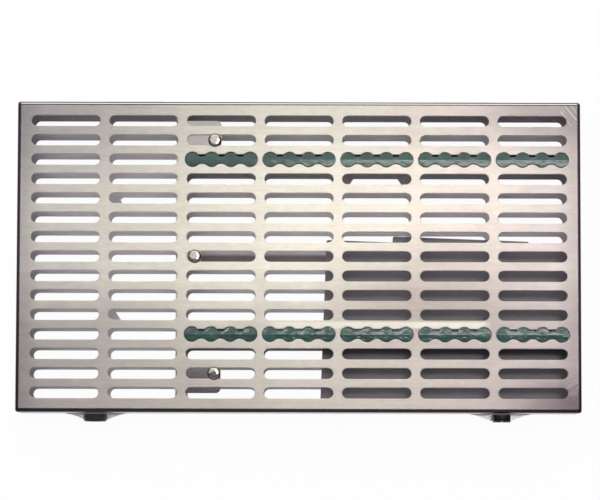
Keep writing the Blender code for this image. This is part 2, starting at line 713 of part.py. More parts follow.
def floor_plate(material, pivot):
    """A loose plate with a lifting tab, askew on the floor, slit from the left for the cradles."""
    tab_end = PLATE_TAB_START + PLATE_TAB_LENGTH
    outline = rectangle((0, -PLATE_DEPTH), (PLATE_LENGTH, 0))[:3]
    outline += [(tab_end, 0), (tab_end, PLATE_TAB_DEPTH)]
    outline += [(PLATE_TAB_START, PLATE_TAB_DEPTH), (PLATE_TAB_START, 0), (0, 0)]
    low = SHEET + SEAT_GAP
    skew = Matrix.Rotation(math.radians(PLATE_SKEW_DEGREES), 4, "Z")
    left = HALF_LENGTH - PLATE_END_INSET - PLATE_LENGTH
    rear = PLATE_FRONT_INSET + PLATE_DEPTH - HALF_DEPTH
    place = Matrix.Translation((left, rear, 0)) @ skew
    plate = prism_mesh("floor_plate", [outline], low, low + PLATE_SHEET, place)
    made = new_object("floor_plate", plate, material, pivot)
    reach = (INSERT_LENGTH / 2 + PLATE_SLIT_MARGIN, INSERT_WIDTH / 2 + PLATE_SLIT_MARGIN)
    first = (column_x(RAIL_COLUMNS[0]) - reach[0], row_y(RAIL_ROWS[1]) - reach[1])
    last = (column_x(RAIL_COLUMNS[-1]) + reach[0], row_y(RAIL_ROWS[1]) + reach[1])
    slit = box_mesh("plate_slit", (*first, low - OVERRUN / 4), (*last, low + PLATE_SHEET + OVERRUN))
    shape(made, new_object("plate_slit", slit, None, None), "DIFFERENCE")


def build():
    for old in list(bpy.data.objects):
        bpy.data.objects.remove(old)
    new_collection(PARTS_NAME)
    new_collection(CUTTERS_NAME)
    steel = new_material("brushed_steel", (0.62, 0.60, 0.57), 0.32, 1.0)
    polished = new_material("polished_steel", (0.55, 0.53, 0.54), 0.18, 1.0)
    silicone = new_material("green_silicone", (0.035, 0.115, 0.085), 0.42, 0.0)

    base = new_pivot("case_frame", (0, 0, 0))
    hinge = new_pivot("lid_pivot", (0, HINGE_Y, HINGE_Z), base)
    latch_pivots = {
        side: new_pivot(name, (side * LATCH_SPREAD, -HALF_DEPTH, LATCH_Z), hinge)
        for side, name in ((-1, "left_latch_pivot"), (1, "right_latch_pivot"))
    }

    base_tray(steel, base)
    lid(steel, hinge)
    inserts(silicone, base, hinge)
    divider(steel, hinge)
    rivets(polished, hinge)
    hinges(polished, base, hinge)
    floor_plate(polished, base)
    for side, name, quarter_turns in ((-1, "left", 0), (1, "right", 1)):
        latch(name, side, quarter_turns, polished, latch_pivots[side])
        latch_lip(name, side, steel, base)


build()
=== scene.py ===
import math

import bmesh
import bpy
from mathutils import Matrix, Vector


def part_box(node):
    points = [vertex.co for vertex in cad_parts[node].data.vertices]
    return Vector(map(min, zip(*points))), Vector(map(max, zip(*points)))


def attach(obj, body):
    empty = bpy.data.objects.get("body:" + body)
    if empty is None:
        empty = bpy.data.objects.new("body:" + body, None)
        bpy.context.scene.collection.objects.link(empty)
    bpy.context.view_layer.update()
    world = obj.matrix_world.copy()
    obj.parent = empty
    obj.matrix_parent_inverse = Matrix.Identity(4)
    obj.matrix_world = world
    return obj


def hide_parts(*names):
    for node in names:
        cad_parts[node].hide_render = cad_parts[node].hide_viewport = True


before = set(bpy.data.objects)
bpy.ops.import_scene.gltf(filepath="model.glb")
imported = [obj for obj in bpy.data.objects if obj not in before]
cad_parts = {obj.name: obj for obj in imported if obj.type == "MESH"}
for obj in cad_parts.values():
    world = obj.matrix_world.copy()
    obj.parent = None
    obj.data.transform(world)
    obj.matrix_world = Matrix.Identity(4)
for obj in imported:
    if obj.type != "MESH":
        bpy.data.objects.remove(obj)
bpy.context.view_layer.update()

# Sizes in metres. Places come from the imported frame.
LID_LOW, LID_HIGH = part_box("lid")
BASE_LOW, BASE_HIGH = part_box("base_tray")
CY = (LID_LOW.y + LID_HIGH.y) / 2
HALF_X = (LID_HIGH.x - LID_LOW.x) / 2
HALF_Y = (LID_HIGH.y - LID_LOW.y) / 2
TOP = LID_HIGH.z
FRONT = LID_LOW.y
SHEET = 0.0010
GAP = 0.0003
BEND = 0.0016

# The grille. Rows count from the hinge side and columns from the left, both from 1.
COLUMNS, ROWS = 7, 15
SIDE_RIM, COLUMN_WEB = 0.0084, 0.0054
FRONT_RIM, ROW_WEB = 0.0084, 0.00525
PITCH_X = (2 * HALF_X - 2 * SIDE_RIM + COLUMN_WEB) / COLUMNS
PITCH_Y = (2 * HALF_Y - 2 * FRONT_RIM + ROW_WEB) / ROWS
SLOT_HALF_X = (PITCH_X - COLUMN_WEB) / 2
SLOT_HALF_Y = (PITCH_Y - ROW_WEB) / 2
SLOT_STEPS = 10
RIM, RIM_DROP = 0.00042, 0.00012
REAR_RAIL, BLANK_ROW, FRONT_RAIL = 3, 8, 12
RAIL_ROWS = (("rear", REAR_RAIL), ("front", FRONT_RAIL))
RAIL_START = 3

# The scalloped cut-outs and what fills them
LOBES, LOBE_STEPS = 4, 8
LOBE_SPACING, CUT_OUT_WEB = 0.0022, 0.0029
LOBE_R = (PITCH_X - CUT_OUT_WEB - (LOBES - 1) * LOBE_SPACING) / (2 * LOBES)
LOBE_PITCH = 2 * LOBE_R + LOBE_SPACING
LAST_LOBE = (LOBES - 1) / 2 * LOBE_PITCH
REAR_NECK = 0.67 * LOBE_R
FRONT_NECK = 0.57 * LOBE_R
PLUG_NECK = 0.41 * LOBE_R
INSERT_LAP, INSERT_SPACING = 0.0006, 0.0020

# The latches' cams sit behind the lid's wall on a boss.
CAM_BOSS = 0.0010
CAM_SEAT = SHEET + GAP + CAM_BOSS

# Clipped ends of the base's slots: (row, column, side), and 1 where the rear corner is cut deeper
CLIP_DEEP, CLIP_SHALLOW = 0.0072, 0.0028
CLIPPED = {
    (4, 5, -1): 1, (4, 5, 1): 1, (13, 5, -1): -1, (13, 5, 1): -1, (5, 2, -1): 1, (11, 2, -1): -1,
}
YZ_PLANE = Matrix(((0, 0, 1, 0), (1, 0, 0, 0), (0, 1, 0, 0), (0, 0, 0, 1)))
QUARTER = math.pi / 2
XZ_PLANE = Matrix.Rotation(QUARTER, 4, "X")
SIDES = ("left", "right")

# The camera looks straight down, a little from the front.
CAMERA_PLACE = Vector((-0.002, CY - 0.1376, TOP + 1.735))
CAMERA_TARGET = Vector((0.0007, CY + 0.00395, TOP))
CAMERA_LENS = 174.2
CAMERA_ROLL = 0.13


def upright(x, y, z):
    """A place whose Z points to the front."""
    return Matrix.Translation((x, y, z)) @ XZ_PLANE


def middled(node_name):
    """A node's box and its middle."""
    low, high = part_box(node_name)
    return low, high, (low + high) / 2


def linked(name, data):
    made = bpy.data.objects.new(name, data)
    bpy.context.scene.collection.objects.link(made)
    return made


def add_camera():
    data = bpy.data.cameras.new("camera")
    data.sensor_width = 36
    data.lens = CAMERA_LENS
    data.clip_start = 0.05
    data.clip_end = 40
    camera = linked("camera", data)
    back = (CAMERA_PLACE - CAMERA_TARGET).normalized()
    right = Vector((0, 1, 0)).cross(back).normalized()
    up = back.cross(right)
    turn = Matrix((right, up, back)).transposed()
    turn = turn @ Matrix.Rotation(math.radians(CAMERA_ROLL), 3, "Z")
    camera.rotation_mode = "QUATERNION"
    camera.rotation_quaternion = turn.to_quaternion()
    camera.location = CAMERA_PLACE
    bpy.context.scene.camera = camera


add_camera()


def column_x(column):
    return (column - (COLUMNS + 1) / 2) * PITCH_X


def row_y(row):
    return ((ROWS + 1) / 2 - row) * PITCH_Y + CY


def lobe_x(lobe):
    """The middle of a lobe, counted from 0 at the left, from the middle of its cut-out."""
    return (lobe - (LOBES - 1) / 2) * LOBE_PITCH


# Outlines: lists of (x, y) points


def arc(cx, cy, radius, start, end, steps):
    return [
        (cx + radius * math.cos(start + (end - start) * i / steps),
         cy + radius * math.sin(start + (end - start) * i / steps))
        for i in range(steps + 1)
    ]


def obround(cx, cy, half_x, half_y, grow):
    """A slot's outline, counter-clockwise, grown by so much."""
    reach = half_x - half_y
    points = arc(cx + reach, cy, half_y + grow, -QUARTER, QUARTER, SLOT_STEPS)
    points += arc(cx - reach, cy, half_y + grow, QUARTER, 3 * QUARTER, SLOT_STEPS)
    return points


def neck_fillet(radius, neck):
    """The radius of the bow that joins two lobes in a wave."""
    return ((LOBE_PITCH / 2)**2 + neck**2 - radius**2) / (2 * (radius - neck))


def lobe_side(radius, neck, straight):
    """One side of the scalloped outline, from left to right, with y upwards."""
    half = LOBE_PITCH / 2
    fillet = neck_fillet(radius, neck)
    meeting = math.asin(neck / radius) if straight else math.atan2(neck + fillet, half)
    side = []
    for lobe in range(LOBES):
        start, end, count = math.pi - meeting, meeting, LOBE_STEPS
        if lobe == 0:
            start, count = math.pi, 2 * LOBE_STEPS
        if lobe == LOBES - 1:
            end, count = 0, 2 * LOBE_STEPS
        side += arc(lobe_x(lobe), 0, radius, start, end, count)
        if lobe < LOBES - 1 and not straight:
            lean = QUARTER - meeting
            middle = lobe_x(lobe) + half
            bow = arc(middle, neck + fillet, fillet, -QUARTER - lean, -QUARTER + lean, 6)
            side += bow[1:-1]
    return side


def lobed(cx, cy, grow):
    """The scalloped cut-out, counter-clockwise: straight necks at the rear, a wave at the front."""
    rear = lobe_side(LOBE_R + grow, REAR_NECK + grow, True)
    front = lobe_side(LOBE_R + grow, FRONT_NECK + grow, False)
    points = rear + [(x, -y) for x, y in reversed(front[1:-1])]
    return [(cx + x, cy + y) for x, y in reversed(points)]


def rounded(low, high, radius, steps=6):
    """A rectangle with round corners, counter-clockwise."""
    points = []
    corners = ((high[0], low[1], -1, 1), (high[0], high[1], -1, -1),
               (low[0], high[1], 1, -1), (low[0], low[1], 1, 1))
    for i, (x, y, sx, sy) in enumerate(corners):
        start = (i - 1) * QUARTER
        points += arc(x + sx * radius, y + sy * radius, radius, start, start + QUARTER, steps)
    return points


# Mesh helpers

SHARP = 0.7
WELD_DISTANCE = 2e-6


def filled(outlines, z, up):
    """Flat faces between outlines, as a temporary 2D curve fills them."""
    curve = bpy.data.curves.new("fill", "CURVE")
    curve.dimensions = "2D"
    curve.fill_mode = "BOTH"
    for outline in outlines:
        spline = curve.splines.new("POLY")
        spline.points.add(len(outline) - 1)
        for point, (x, y) in zip(spline.points, outline):
            point.co = (x, y, 0, 1)
        spline.use_cyclic_u = True
    drawn = linked("fill", curve)
    graph = bpy.context.evaluated_depsgraph_get()
    mesh = bpy.data.meshes.new_from_object(drawn.evaluated_get(graph))
    bpy.data.objects.remove(drawn)
    bpy.data.curves.remove(curve)
    faces = bmesh.new()
    faces.from_mesh(mesh)
    bpy.data.meshes.remove(mesh)
    bmesh.ops.remove_doubles(faces, verts=faces.verts, dist=1e-6)
    for vert in faces.verts:
        vert.co.z = z
    faces.normal_update()
    for face in faces.faces:
        if (face.normal.z > 0) != up:
            face.normal_flip()
    return faces


def strip(builder, loops):
    """Quads between successive closed loops of (x, y, z) points."""
    rows = [[builder.verts.new(p) for p in loop] for loop in loops]
    count = len(rows[0])
    for low, high in zip(rows, rows[1:]):
        for i in range(count):
            j = (i + 1) % count
            builder.faces.new((low[i], low[j], high[j], high[i]))
    return rows


def as_mesh(name, builder):
    mesh = bpy.data.meshes.new(name)
    builder.to_mesh(mesh)
    builder.free()
    return mesh


def merge(builder, other):
    mesh = as_mesh("merge", other)
    builder.from_mesh(mesh)
    bpy.data.meshes.remove(mesh)


def face_out(builder):
    bmesh.ops.recalc_face_normals(builder, faces=builder.faces)


def put(builder, place):
    bmesh.ops.transform(builder, matrix=place, verts=builder.verts)


def prism(outline, low, high):
    """An outline extruded from low to high, closed at both ends."""
    builder = bmesh.new()
    rows = strip(builder, [[(x, y, z) for x, y in outline] for z in (low, high)])
    builder.faces.new(rows[0][::-1])
    builder.faces.new(rows[1])
    face_out(builder)
    return builder


def block(low, high):
    corners = [(low[0], low[1]), (high[0], low[1]), (high[0], high[1]), (low[0], high[1])]
    return prism(corners, low[2], high[2])


def slab(outline, low, high, edge, place=None, steps=2):
    """A prism with every sharp edge rounded, and then placed."""
    builder = prism(outline, low, high)
    sharp = [e for e in builder.edges if e.calc_face_angle(0) > SHARP]
    bmesh.ops.bevel(builder, geom=sharp, offset=edge, segments=steps, profile=0.5, affect="EDGES")
    if place:
        put(builder, place)
    return builder


def turned(profile, steps, place=None):
    """A profile of (radius, height) points turned about Z."""
    builder = bmesh.new()
    loops = []
    for radius, height in profile:
        angles = [2 * math.pi * i / steps for i in range(steps)]
        loops.append([(radius * math.cos(a), radius * math.sin(a), height) for a in angles])
    strip(builder, loops)
    bmesh.ops.remove_doubles(builder, verts=builder.verts, dist=1e-7)
    face_out(builder)
    if place:
        put(builder, place)
    return builder


def carved(builder, cutters):
    """The mesh with helper forms taken out."""
    made = linked("carved", as_mesh("carved", builder))
    tools = []
    for cutter in cutters:
        tool = linked("cutter", as_mesh("cutter", cutter))
        boolean = made.modifiers.new("cut", "BOOLEAN")
        boolean.object = tool
        tools.append(tool)
    graph = bpy.context.evaluated_depsgraph_get()
    result = bpy.data.meshes.new_from_object(made.evaluated_get(graph))
    left = bmesh.new()
    left.from_mesh(result)
    for used in (made, *tools):
        bpy.data.objects.remove(used)
    bpy.data.meshes.remove(result)
    return left


def finish_piece(name, builder, material, body, nodes, cutters=(), angle=35):
    """Turns a mesh into a piece that rides on a body and stands for its CAD nodes."""
    bmesh.ops.remove_doubles(builder, verts=builder.verts, dist=WELD_DISTANCE)
    face_out(builder)
    if cutters:
        builder = carved(builder, cutters)
    mesh = as_mesh(name, builder)
    made = linked(name, mesh)
    mesh.materials.append(material)
    mesh.shade_smooth()
    mesh.set_sharp_from_angle(angle=math.radians(angle))
    flats = made.modifiers.new("flats", "WEIGHTED_NORMAL")
    flats.keep_sharp = True
    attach(made, body)
    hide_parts(*nodes)


# Materials


def new_material(name):
    material = bpy.data.materials.new(name)
    material.use_nodes = True
    tree = material.node_tree
    return material, tree, tree.nodes["Principled BSDF"]


def node(tree, kind, **values):
    made = tree.nodes.new(kind)
    for key, value in values.items():
        setattr(made, key, value)
    return made


def feed(socket, value):
    """Links an output to a socket, or sets the socket's own value."""
    if isinstance(value, bpy.types.NodeSocket):
        socket.id_data.links.new(value, socket)
    elif isinstance(value, tuple) and len(socket.default_value) == 4:
        socket.default_value = (*value, 1)
    else:
        socket.default_value = value


def position(tree, scale=(1, 1, 1), turn=0.0, shift=(0, 0, 0)):
    """Object coordinates: shifted so that a place is the origin, turned about Z and stretched."""
    coordinates = node(tree, "ShaderNodeTexCoord")
    moved = node(tree, "ShaderNodeVectorMath", operation="SUBTRACT")
    feed(moved.inputs[0], coordinates.outputs["Object"])
    feed(moved.inputs[1], shift)
    mapping = node(tree, "ShaderNodeMapping")
    mapping.inputs["Rotation"].default_value = (0, 0, math.radians(turn))
    feed(mapping.inputs["Vector"], moved.outputs[0])
    stretched = node(tree, "ShaderNodeVectorMath", operation="MULTIPLY")
    feed(stretched.inputs[0], mapping.outputs[0])
    feed(stretched.inputs[1], scale)
    return stretched.outputs[0]


def noise(tree, scale, detail, roughness=0.55, turn=0.0):
    """Noise with so many waves a metre along each axis."""
    made = node(tree, "ShaderNodeTexNoise")
    for key, value in (("Vector", position(tree, scale, turn)), ("Scale", 1.0), ("Detail", detail),
                       ("Roughness", roughness)):
        feed(made.inputs[key], value)
    return made.outputs["Fac"]


def ramp(tree, value, stops):
    made = node(tree, "ShaderNodeValToRGB")
    elements = made.color_ramp.elements
    while len(elements) < len(stops):
        elements.new(0.5)
    for element, (place, colour) in zip(elements, stops):
        element.position = place
        element.color = (*colour, 1)
    feed(made.inputs["Fac"], value)
    return made.outputs["Color"]


def fit(tree, value, low, high, to_low, to_high, smooth=False):
    """Maps one range of a value to another, held at its ends."""
    made = node(tree, "ShaderNodeMapRange")
    made.interpolation_type = "SMOOTHSTEP" if smooth else "LINEAR"
    for key, number in (("Value", value), ("From Min", low), ("From Max", high),
                        ("To Min", to_low), ("To Max", to_high)):
        feed(made.inputs[key], number)
    return made.outputs["Result"]


def mix(tree, factor, a, b, blend="MIX"):
    made = node(tree, "ShaderNodeMix", data_type="RGBA", blend_type=blend)
    feed(made.inputs[0], factor)
    feed(made.inputs[6], a)
    feed(made.inputs[7], b)
    return made.outputs[2]


def maths(tree, operation, a, b=0.0):
    made = node(tree, "ShaderNodeMath", operation=operation)
    feed(made.inputs[0], a)
    feed(made.inputs[1], b)
    return made.outputs[0]


def times(tree, a, b):
    return maths(tree, "MULTIPLY", a, b)


def tinted(tree, colour, tone, amount=1.0):
    return mix(tree, amount, colour, tone, "MULTIPLY")


def distance_from(tree, centre, scale=(1, 1, 1)):
    """How far a point lies from a place on the lid's face."""
    away = node(tree, "ShaderNodeVectorMath", operation="LENGTH")
    feed(away.inputs[0], position(tree, scale, shift=(centre[0], centre[1], TOP)))
    return away.outputs["Value"]


def axes(tree, vector=None):
    separate = node(tree, "ShaderNodeSeparateXYZ")
    feed(separate.inputs[0], vector or position(tree))
    return separate.outputs


def bump(tree, shader, height, distance, strength):
    ridges = node(tree, "ShaderNodeBump")
    for key, value in (("Strength", strength), ("Distance", distance), ("Height", height)):
        feed(ridges.inputs[key], value)
    feed(shader.inputs["Normal"], ridges.outputs["Normal"])
    feed(shader.inputs["Coat Normal"], ridges.outputs["Normal"])


def between(tree, value, rise, fall):
    """0, then 1 from the end of the rise to the start of the fall, then 0."""
    return times(tree, fit(tree, value, *rise, 0, 1), fit(tree, value, *fall, 1, 0))


def band(tree, value, low, high, soft=0.0002):
    """1 between two values, 0 outside."""
    return between(tree, value, (low - soft, low + soft), (high - soft, high + soft))


# Painted shade along the bends, measured inward from the sheet's sides, stands for the dark
# surroundings they reflect.
# The rear bend has painted shade on both sides of a painted highlight stripe.
SIDE_BEND_SHADE = (BEND + 0.0007, BEND + 0.0002)
FRONT_BEND_SHADE = (BEND + 0.0005, BEND + 0.0010)
REAR_BEND_SHADE_INNER, REAR_BEND_SHADE_OUTER = (0.0021, 0.0014), (0.0011, 0.0007)
REAR_HIGHLIGHT_STRIPE = (0.0015, 0.0009)
BEND_SHADE_DOWN = (0.0026, 0.0014)
BEND_SHADE_TINT, BEND_SHADE_AMOUNT, HIGHLIGHT_STRIPE_TINT = (0.04, 0.03, 0.045), 0.93, (0.95, 0.95, 0.94)
BEND_SHADE_ROUGHNESS = (0.2, 0.2, 0.2)


def painted_bend_shade_mask(tree, face_z, way):
    """1 where the sheet's bends get painted dark shade, near its face."""
    x, y, z = axes(tree, position(tree, shift=(0, CY, 0)))
    beside = fit(tree, maths(tree, "ABSOLUTE", x), *(HALF_X - d for d in SIDE_BEND_SHADE), 0, 1)
    front = fit(tree, y, *(d - HALF_Y for d in FRONT_BEND_SHADE), 1, 0)
    rear = maths(tree, "MAXIMUM", band(tree, y, *(HALF_Y - d for d in REAR_BEND_SHADE_INNER)),
                 fit(tree, y, *(HALF_Y - d for d in REAR_BEND_SHADE_OUTER), 0, 1))
    near = fit(tree, times(tree, z, way), *(way * face_z - d for d in BEND_SHADE_DOWN), 0, 1)
    return times(tree, maths(tree, "MAXIMUM", maths(tree, "MAXIMUM", beside, front), rear), near)


def scratches(tree, centre, reach, turn, coarse, amount):
    """A patch of fine parallel scratches round a place."""
    lines = noise(tree, (40 * coarse, 700 * coarse, 1), 2.0, 0.5, turn)
    lines = fit(tree, lines, 0.53, 0.60, 0, 1)
    wander = fit(tree, noise(tree, (260, 260, 1), 2.0), 0.3, 0.7, -0.002, 0.002)
    distance = maths(tree, "ADD", distance_from(tree, centre), wander)
    return times(tree, lines, fit(tree, distance, reach * 0.45, reach, amount, 0, True))


# Painted shade makes the lid darker near its sides. A painted highlight lays a pale strip behind its
# front inserts.
SIDE_FALL, SIDE_SHADE_TONE = (HALF_X - 0.018, HALF_X - 0.002), 0.78
HALO_Y = row_y(FRONT_RAIL)
HALO_ROWS = ((HALO_Y + 0.0034, HALO_Y + 0.0042), (HALO_Y + 0.0070, HALO_Y + 0.0084))
HALO_COLUMNS = ((column_x(4) - 0.019, column_x(4) - 0.013), (column_x(6) + 0.017, column_x(6) + 0.022))
HALO_HIGHLIGHT_TINT, HALO_HIGHLIGHT_AMOUNT = (0.93, 0.90, 0.78), 0.85
# Painted shade darkens the base's blank row from its left end on.
SHADED_ROW_START, SHADED_ROW_TINT = (column_x(2) + 0.024, column_x(3) - 0.022), (0.36, 0.33, 0.33)
# Painted shade for the rivets' sloping shoulders.
RING_SHADE_TINT = (0.20, 0.17, 0.20)
BLUSH = ((0.35, (1.0, 0.975, 0.988)), (0.65, (0.99, 1.0, 0.978)))


def steel(name, tints, painted_down_shade=None, grain=0.06, rough=0.30, ridge=0.25, bend=None,
          marks=(), painted_shades=(), painted_halo=False, shaded_row=False, shade_below=0, matt_below=0,
          metal=1.0):
    """Brushed steel: fine grain along X, slow changes of tone with painted reflection and shade, bends
    in painted shade with a painted highlight stripe, and scratched spots.

    tints run along X, on the lid with painted reflection in them, and the painted shade tones run from
    rear to front. bend is the face's height and the way it faces. Below the ring height the piece gets
    painted shade, and below matt_below it is rougher.
    """
    material, tree, shader = new_material(name)
    fine = noise(tree, (240, 1500, 1500), 3.0, 0.62)
    streak = noise(tree, (34, 520, 520), 2.0, 0.5)
    cloud = noise(tree, (24, 40, 24), 3.0, 0.6)
    mottle = noise(tree, (150, 260, 150), 2.0, 0.5)
    x, y, z = axes(tree)
    across = maths(tree, "ADD", fit(tree, x, -HALF_X, HALF_X, 0, 1),
                   fit(tree, cloud, 0.2, 0.8, -0.10, 0.10))
    colour = ramp(tree, across, tints)
    # Painted shade that changes from rear to front.
    if painted_down_shade:
        down = maths(tree, "ADD", y, fit(tree, cloud, 0.2, 0.8, -0.012, 0.012))
        down = fit(tree, down, CY + HALF_Y, CY - HALF_Y, 0, 1)
        colour = tinted(tree, colour, ramp(tree, down, painted_down_shade))
        beside = maths(tree, "ABSOLUTE", x)
        # Painted shade towards the lid's sides.
        colour = tinted(tree, colour, fit(tree, beside, *SIDE_FALL, 1, SIDE_SHADE_TONE, True))
    # Painted shade in soft spots.
    for centre, reach, tone in painted_shades:
        away = distance_from(tree, centre, (1, 2, 1))
        colour = tinted(tree, colour, tone, fit(tree, away, 0, reach, 1, 0, True))
    tone = times(tree, fit(tree, fine, 0.3, 0.7, 1 - grain, 1 + grain),
                 fit(tree, streak, 0.3, 0.7, 0.97, 1.03))
    tone = times(tree, tone, fit(tree, mottle, 0.3, 0.7, 0.965, 1.035))
    colour = tinted(tree, colour, tone)
    colour = tinted(tree, colour, ramp(tree, noise(tree, (60, 110, 60), 2.0), BLUSH))
    roughness = fit(tree, fine, 0.3, 0.7, rough * 0.93, rough * 1.10)
    if painted_halo:
        # A painted highlight: a pale strip behind the front inserts.
        window = times(tree, between(tree, y, *HALO_ROWS), between(tree, x, *HALO_COLUMNS))
        colour = mix(tree, times(tree, window, HALO_HIGHLIGHT_AMOUNT), colour, HALO_HIGHLIGHT_TINT)
    # Painted shade over the base's blank row.
    if shaded_row:
        strip = band(tree, y, row_y(BLANK_ROW) - SLOT_HALF_Y, row_y(BLANK_ROW) + SLOT_HALF_Y, 0.001)
        strip = times(tree, strip, fit(tree, x, *SHADED_ROW_START, 0, 1))
        colour = tinted(tree, colour, SHADED_ROW_TINT, strip)
    for centre, reach, turn, coarse, amount, tint in marks:
        mark = scratches(tree, centre, reach, turn, coarse, amount)
        colour = mix(tree, mark, colour, tint)
        roughness = maths(tree, "ADD", roughness, times(tree, mark, 0.12))
    # Painted shade on the sloping shoulder below this height.
    if shade_below:
        ring = fit(tree, z, shade_below - 0.0003, shade_below, 1, 0)
        colour = tinted(tree, colour, RING_SHADE_TINT, ring)
    if matt_below:
        extra = fit(tree, z, matt_below - 0.001, matt_below, 0.24, 0)
        roughness = maths(tree, "ADD", roughness, extra)
    # Painted shade on the bends, and a painted highlight stripe along the rear bend.
    if bend:
        bend_darkness = painted_bend_shade_mask(tree, *bend)
        painted_stripe = band(tree, y, *(CY + HALF_Y - d for d in REAR_HIGHLIGHT_STRIPE))
        colour = mix(tree, painted_stripe, colour, HIGHLIGHT_STRIPE_TINT)
        colour = mix(tree, times(tree, bend_darkness, BEND_SHADE_AMOUNT), colour, BEND_SHADE_TINT)
        roughness = mix(tree, bend_darkness, roughness, BEND_SHADE_ROUGHNESS)
    feed(shader.inputs["Base Color"], colour)
    shader.inputs["Metallic"].default_value = metal
    feed(shader.inputs["Roughness"], roughness)
    bump(tree, shader, fine, 0.00003, ridge)
    return material


def even(edge, middle):
    """Tints that are the same at both ends."""
    return ((0.0, edge), (0.5, middle), (1.0, edge))


# Tints and tones: (place from 0 to 1, colour). Painted shades: middle, reach, colour. Marks: middle,
# reach, turn in degrees, coarseness, strength, colour.
# The lid's tints are its own colour with painted reflection mixed in; its down tones and shades are
# painted shade.
LID_TINTS_AND_REFLECTION = ((0.0, (0.75, 0.715, 0.68)), (0.25, (0.86, 0.83, 0.73)), (0.5, (0.98, 0.95, 0.82)),
             (0.75, (0.95, 0.865, 0.78)), (1.0, (0.79, 0.71, 0.69)))
DOWN_PAINTED_SHADE = ((0.03, (0.76, 0.76, 0.76)), (0.28, (0.97, 0.96, 0.95)), (0.55, (1.0, 0.995, 0.985)),
              (0.70, (0.78, 0.77, 0.78)), (1.0, (0.74, 0.72, 0.74)))
LID_PAINTED_SHADES = (((-0.150, CY + 0.0850), 0.120, (0.80, 0.80, 0.84)),
              ((0.162, CY - 0.0880), 0.050, (0.50, 0.46, 0.50)),
              ((0.075, CY - 0.0240), 0.100, (0.68, 0.67, 0.68)),
              ((0.150, CY + 0.0860), 0.055, (0.72, 0.70, 0.73)))
BASE_TINTS = ((0.0, (0.64, 0.605, 0.655)), (0.5, (0.77, 0.73, 0.785)), (1.0, (0.68, 0.64, 0.695)))
TAB_TINTS = even((0.54, 0.515, 0.50), (0.57, 0.545, 0.53))
DARK_TINTS = even((0.26, 0.25, 0.27), (0.32, 0.31, 0.32))
PLATE_TINTS = ((0.0, (0.20, 0.18, 0.21)), (0.6, (0.21, 0.195, 0.22)), (1.0, (0.21, 0.195, 0.215)))
RIVET_TINTS = even((0.68, 0.65, 0.57), (0.72, 0.69, 0.60))
KNOB_TINTS = even((0.042, 0.034, 0.046), (0.050, 0.040, 0.054))
LIP_TINTS = even((0.78, 0.75, 0.80), (0.82, 0.80, 0.84))
CORNER_MARKS = (
    ((0.1635, CY + 0.0865), 0.0085, 52, 1.0, 0.80, (0.92, 0.89, 0.80)),
    ((0.1645, CY - 0.0775), 0.0085, -30, 1.3, 0.40, (0.78, 0.77, 0.72)),
    ((-0.1640, CY - 0.0740), 0.0070, 70, 1.6, 0.35, (0.62, 0.64, 0.60)),
)
LID_STEEL = steel("lid_brushed_steel", LID_TINTS_AND_REFLECTION, DOWN_PAINTED_SHADE, ridge=0.04, bend=(TOP, 1),
                  marks=CORNER_MARKS, painted_shades=LID_PAINTED_SHADES, painted_halo=True)
BASE_STEEL = steel("base_brushed_steel", BASE_TINTS, rough=0.50, bend=(BASE_LOW.z, -1), shaded_row=True,
                   metal=0.6)
DIVIDER_STEEL = steel("divider_steel", TAB_TINTS, grain=0.03, rough=0.06, ridge=0.02,
                      matt_below=TOP - 0.0028)
LIP_STEEL = steel("lip_steel", LIP_TINTS, grain=0.05, rough=0.28)
POLISHED = steel("polished_steel", DARK_TINTS, grain=0.04, rough=0.2, ridge=0.1)
RIVET_STEEL = steel("rivet_steel", RIVET_TINTS, rough=0.05, ridge=0.0,
                    shade_below=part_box("divider_rivet_rear")[1].z - 0.00008)
KNOB_STEEL = steel("knob_steel", KNOB_TINTS, grain=0.05, rough=0.26, ridge=0.15)
PLATE_STEEL = steel("plate_steel", PLATE_TINTS, grain=0.03, rough=0.25, ridge=0.05, metal=0.15)
GREENS = ((0.3, (0.007, 0.043, 0.037)), (0.7, (0.017, 0.078, 0.060)))
# The rear inserts are smoother than the front ones.
REAR_SWELL, SPECK_SHARE, SWELL_HEIGHT = 0.30, 0.012, 0.00026


def silicone():
    """Green silicone: cloudy colour and a glossy skin, with soft waves that break the gloss up."""
    material, tree, shader = new_material("green_silicone")
    cloud = noise(tree, (120, 120, 120), 3.0, 0.5)
    speck = noise(tree, (1500, 1500, 1500), 2.0, 0.5)
    swell = noise(tree, (230, 330, 230), 2.0, 0.5)
    feed(shader.inputs["Base Color"], ramp(tree, cloud, GREENS))
    feed(shader.inputs["Roughness"], fit(tree, speck, 0.3, 0.7, 0.16, 0.24))
    shader.inputs["Coat Weight"].default_value = 1.0
    shader.inputs["Coat Roughness"].default_value = 0.06
    calm = fit(tree, axes(tree)[1], CY - 0.01, CY + 0.01, 1.0, REAR_SWELL)
    waves = maths(tree, "ADD", times(tree, swell, calm), times(tree, speck, SPECK_SHARE))
    bump(tree, shader, waves, SWELL_HEIGHT, 0.5)
    return material


SILICONE = silicone()


# The two pans

# The clipped end in this row is bowed: (share of the slot's half width, how far in it lies).
BOWED_ROW, BOW = 5, ((-0.6, 0.0002), (0, 0.0012), (0.6, 0.0016))
EDGE_LIP = 0.0002
FLAT_INSET = BEND + 0.0008
CORNER_RADIUS = BEND * 0.6
RIM_STEPS, BEND_STEPS, INNER_STEPS = 5, 8, 4


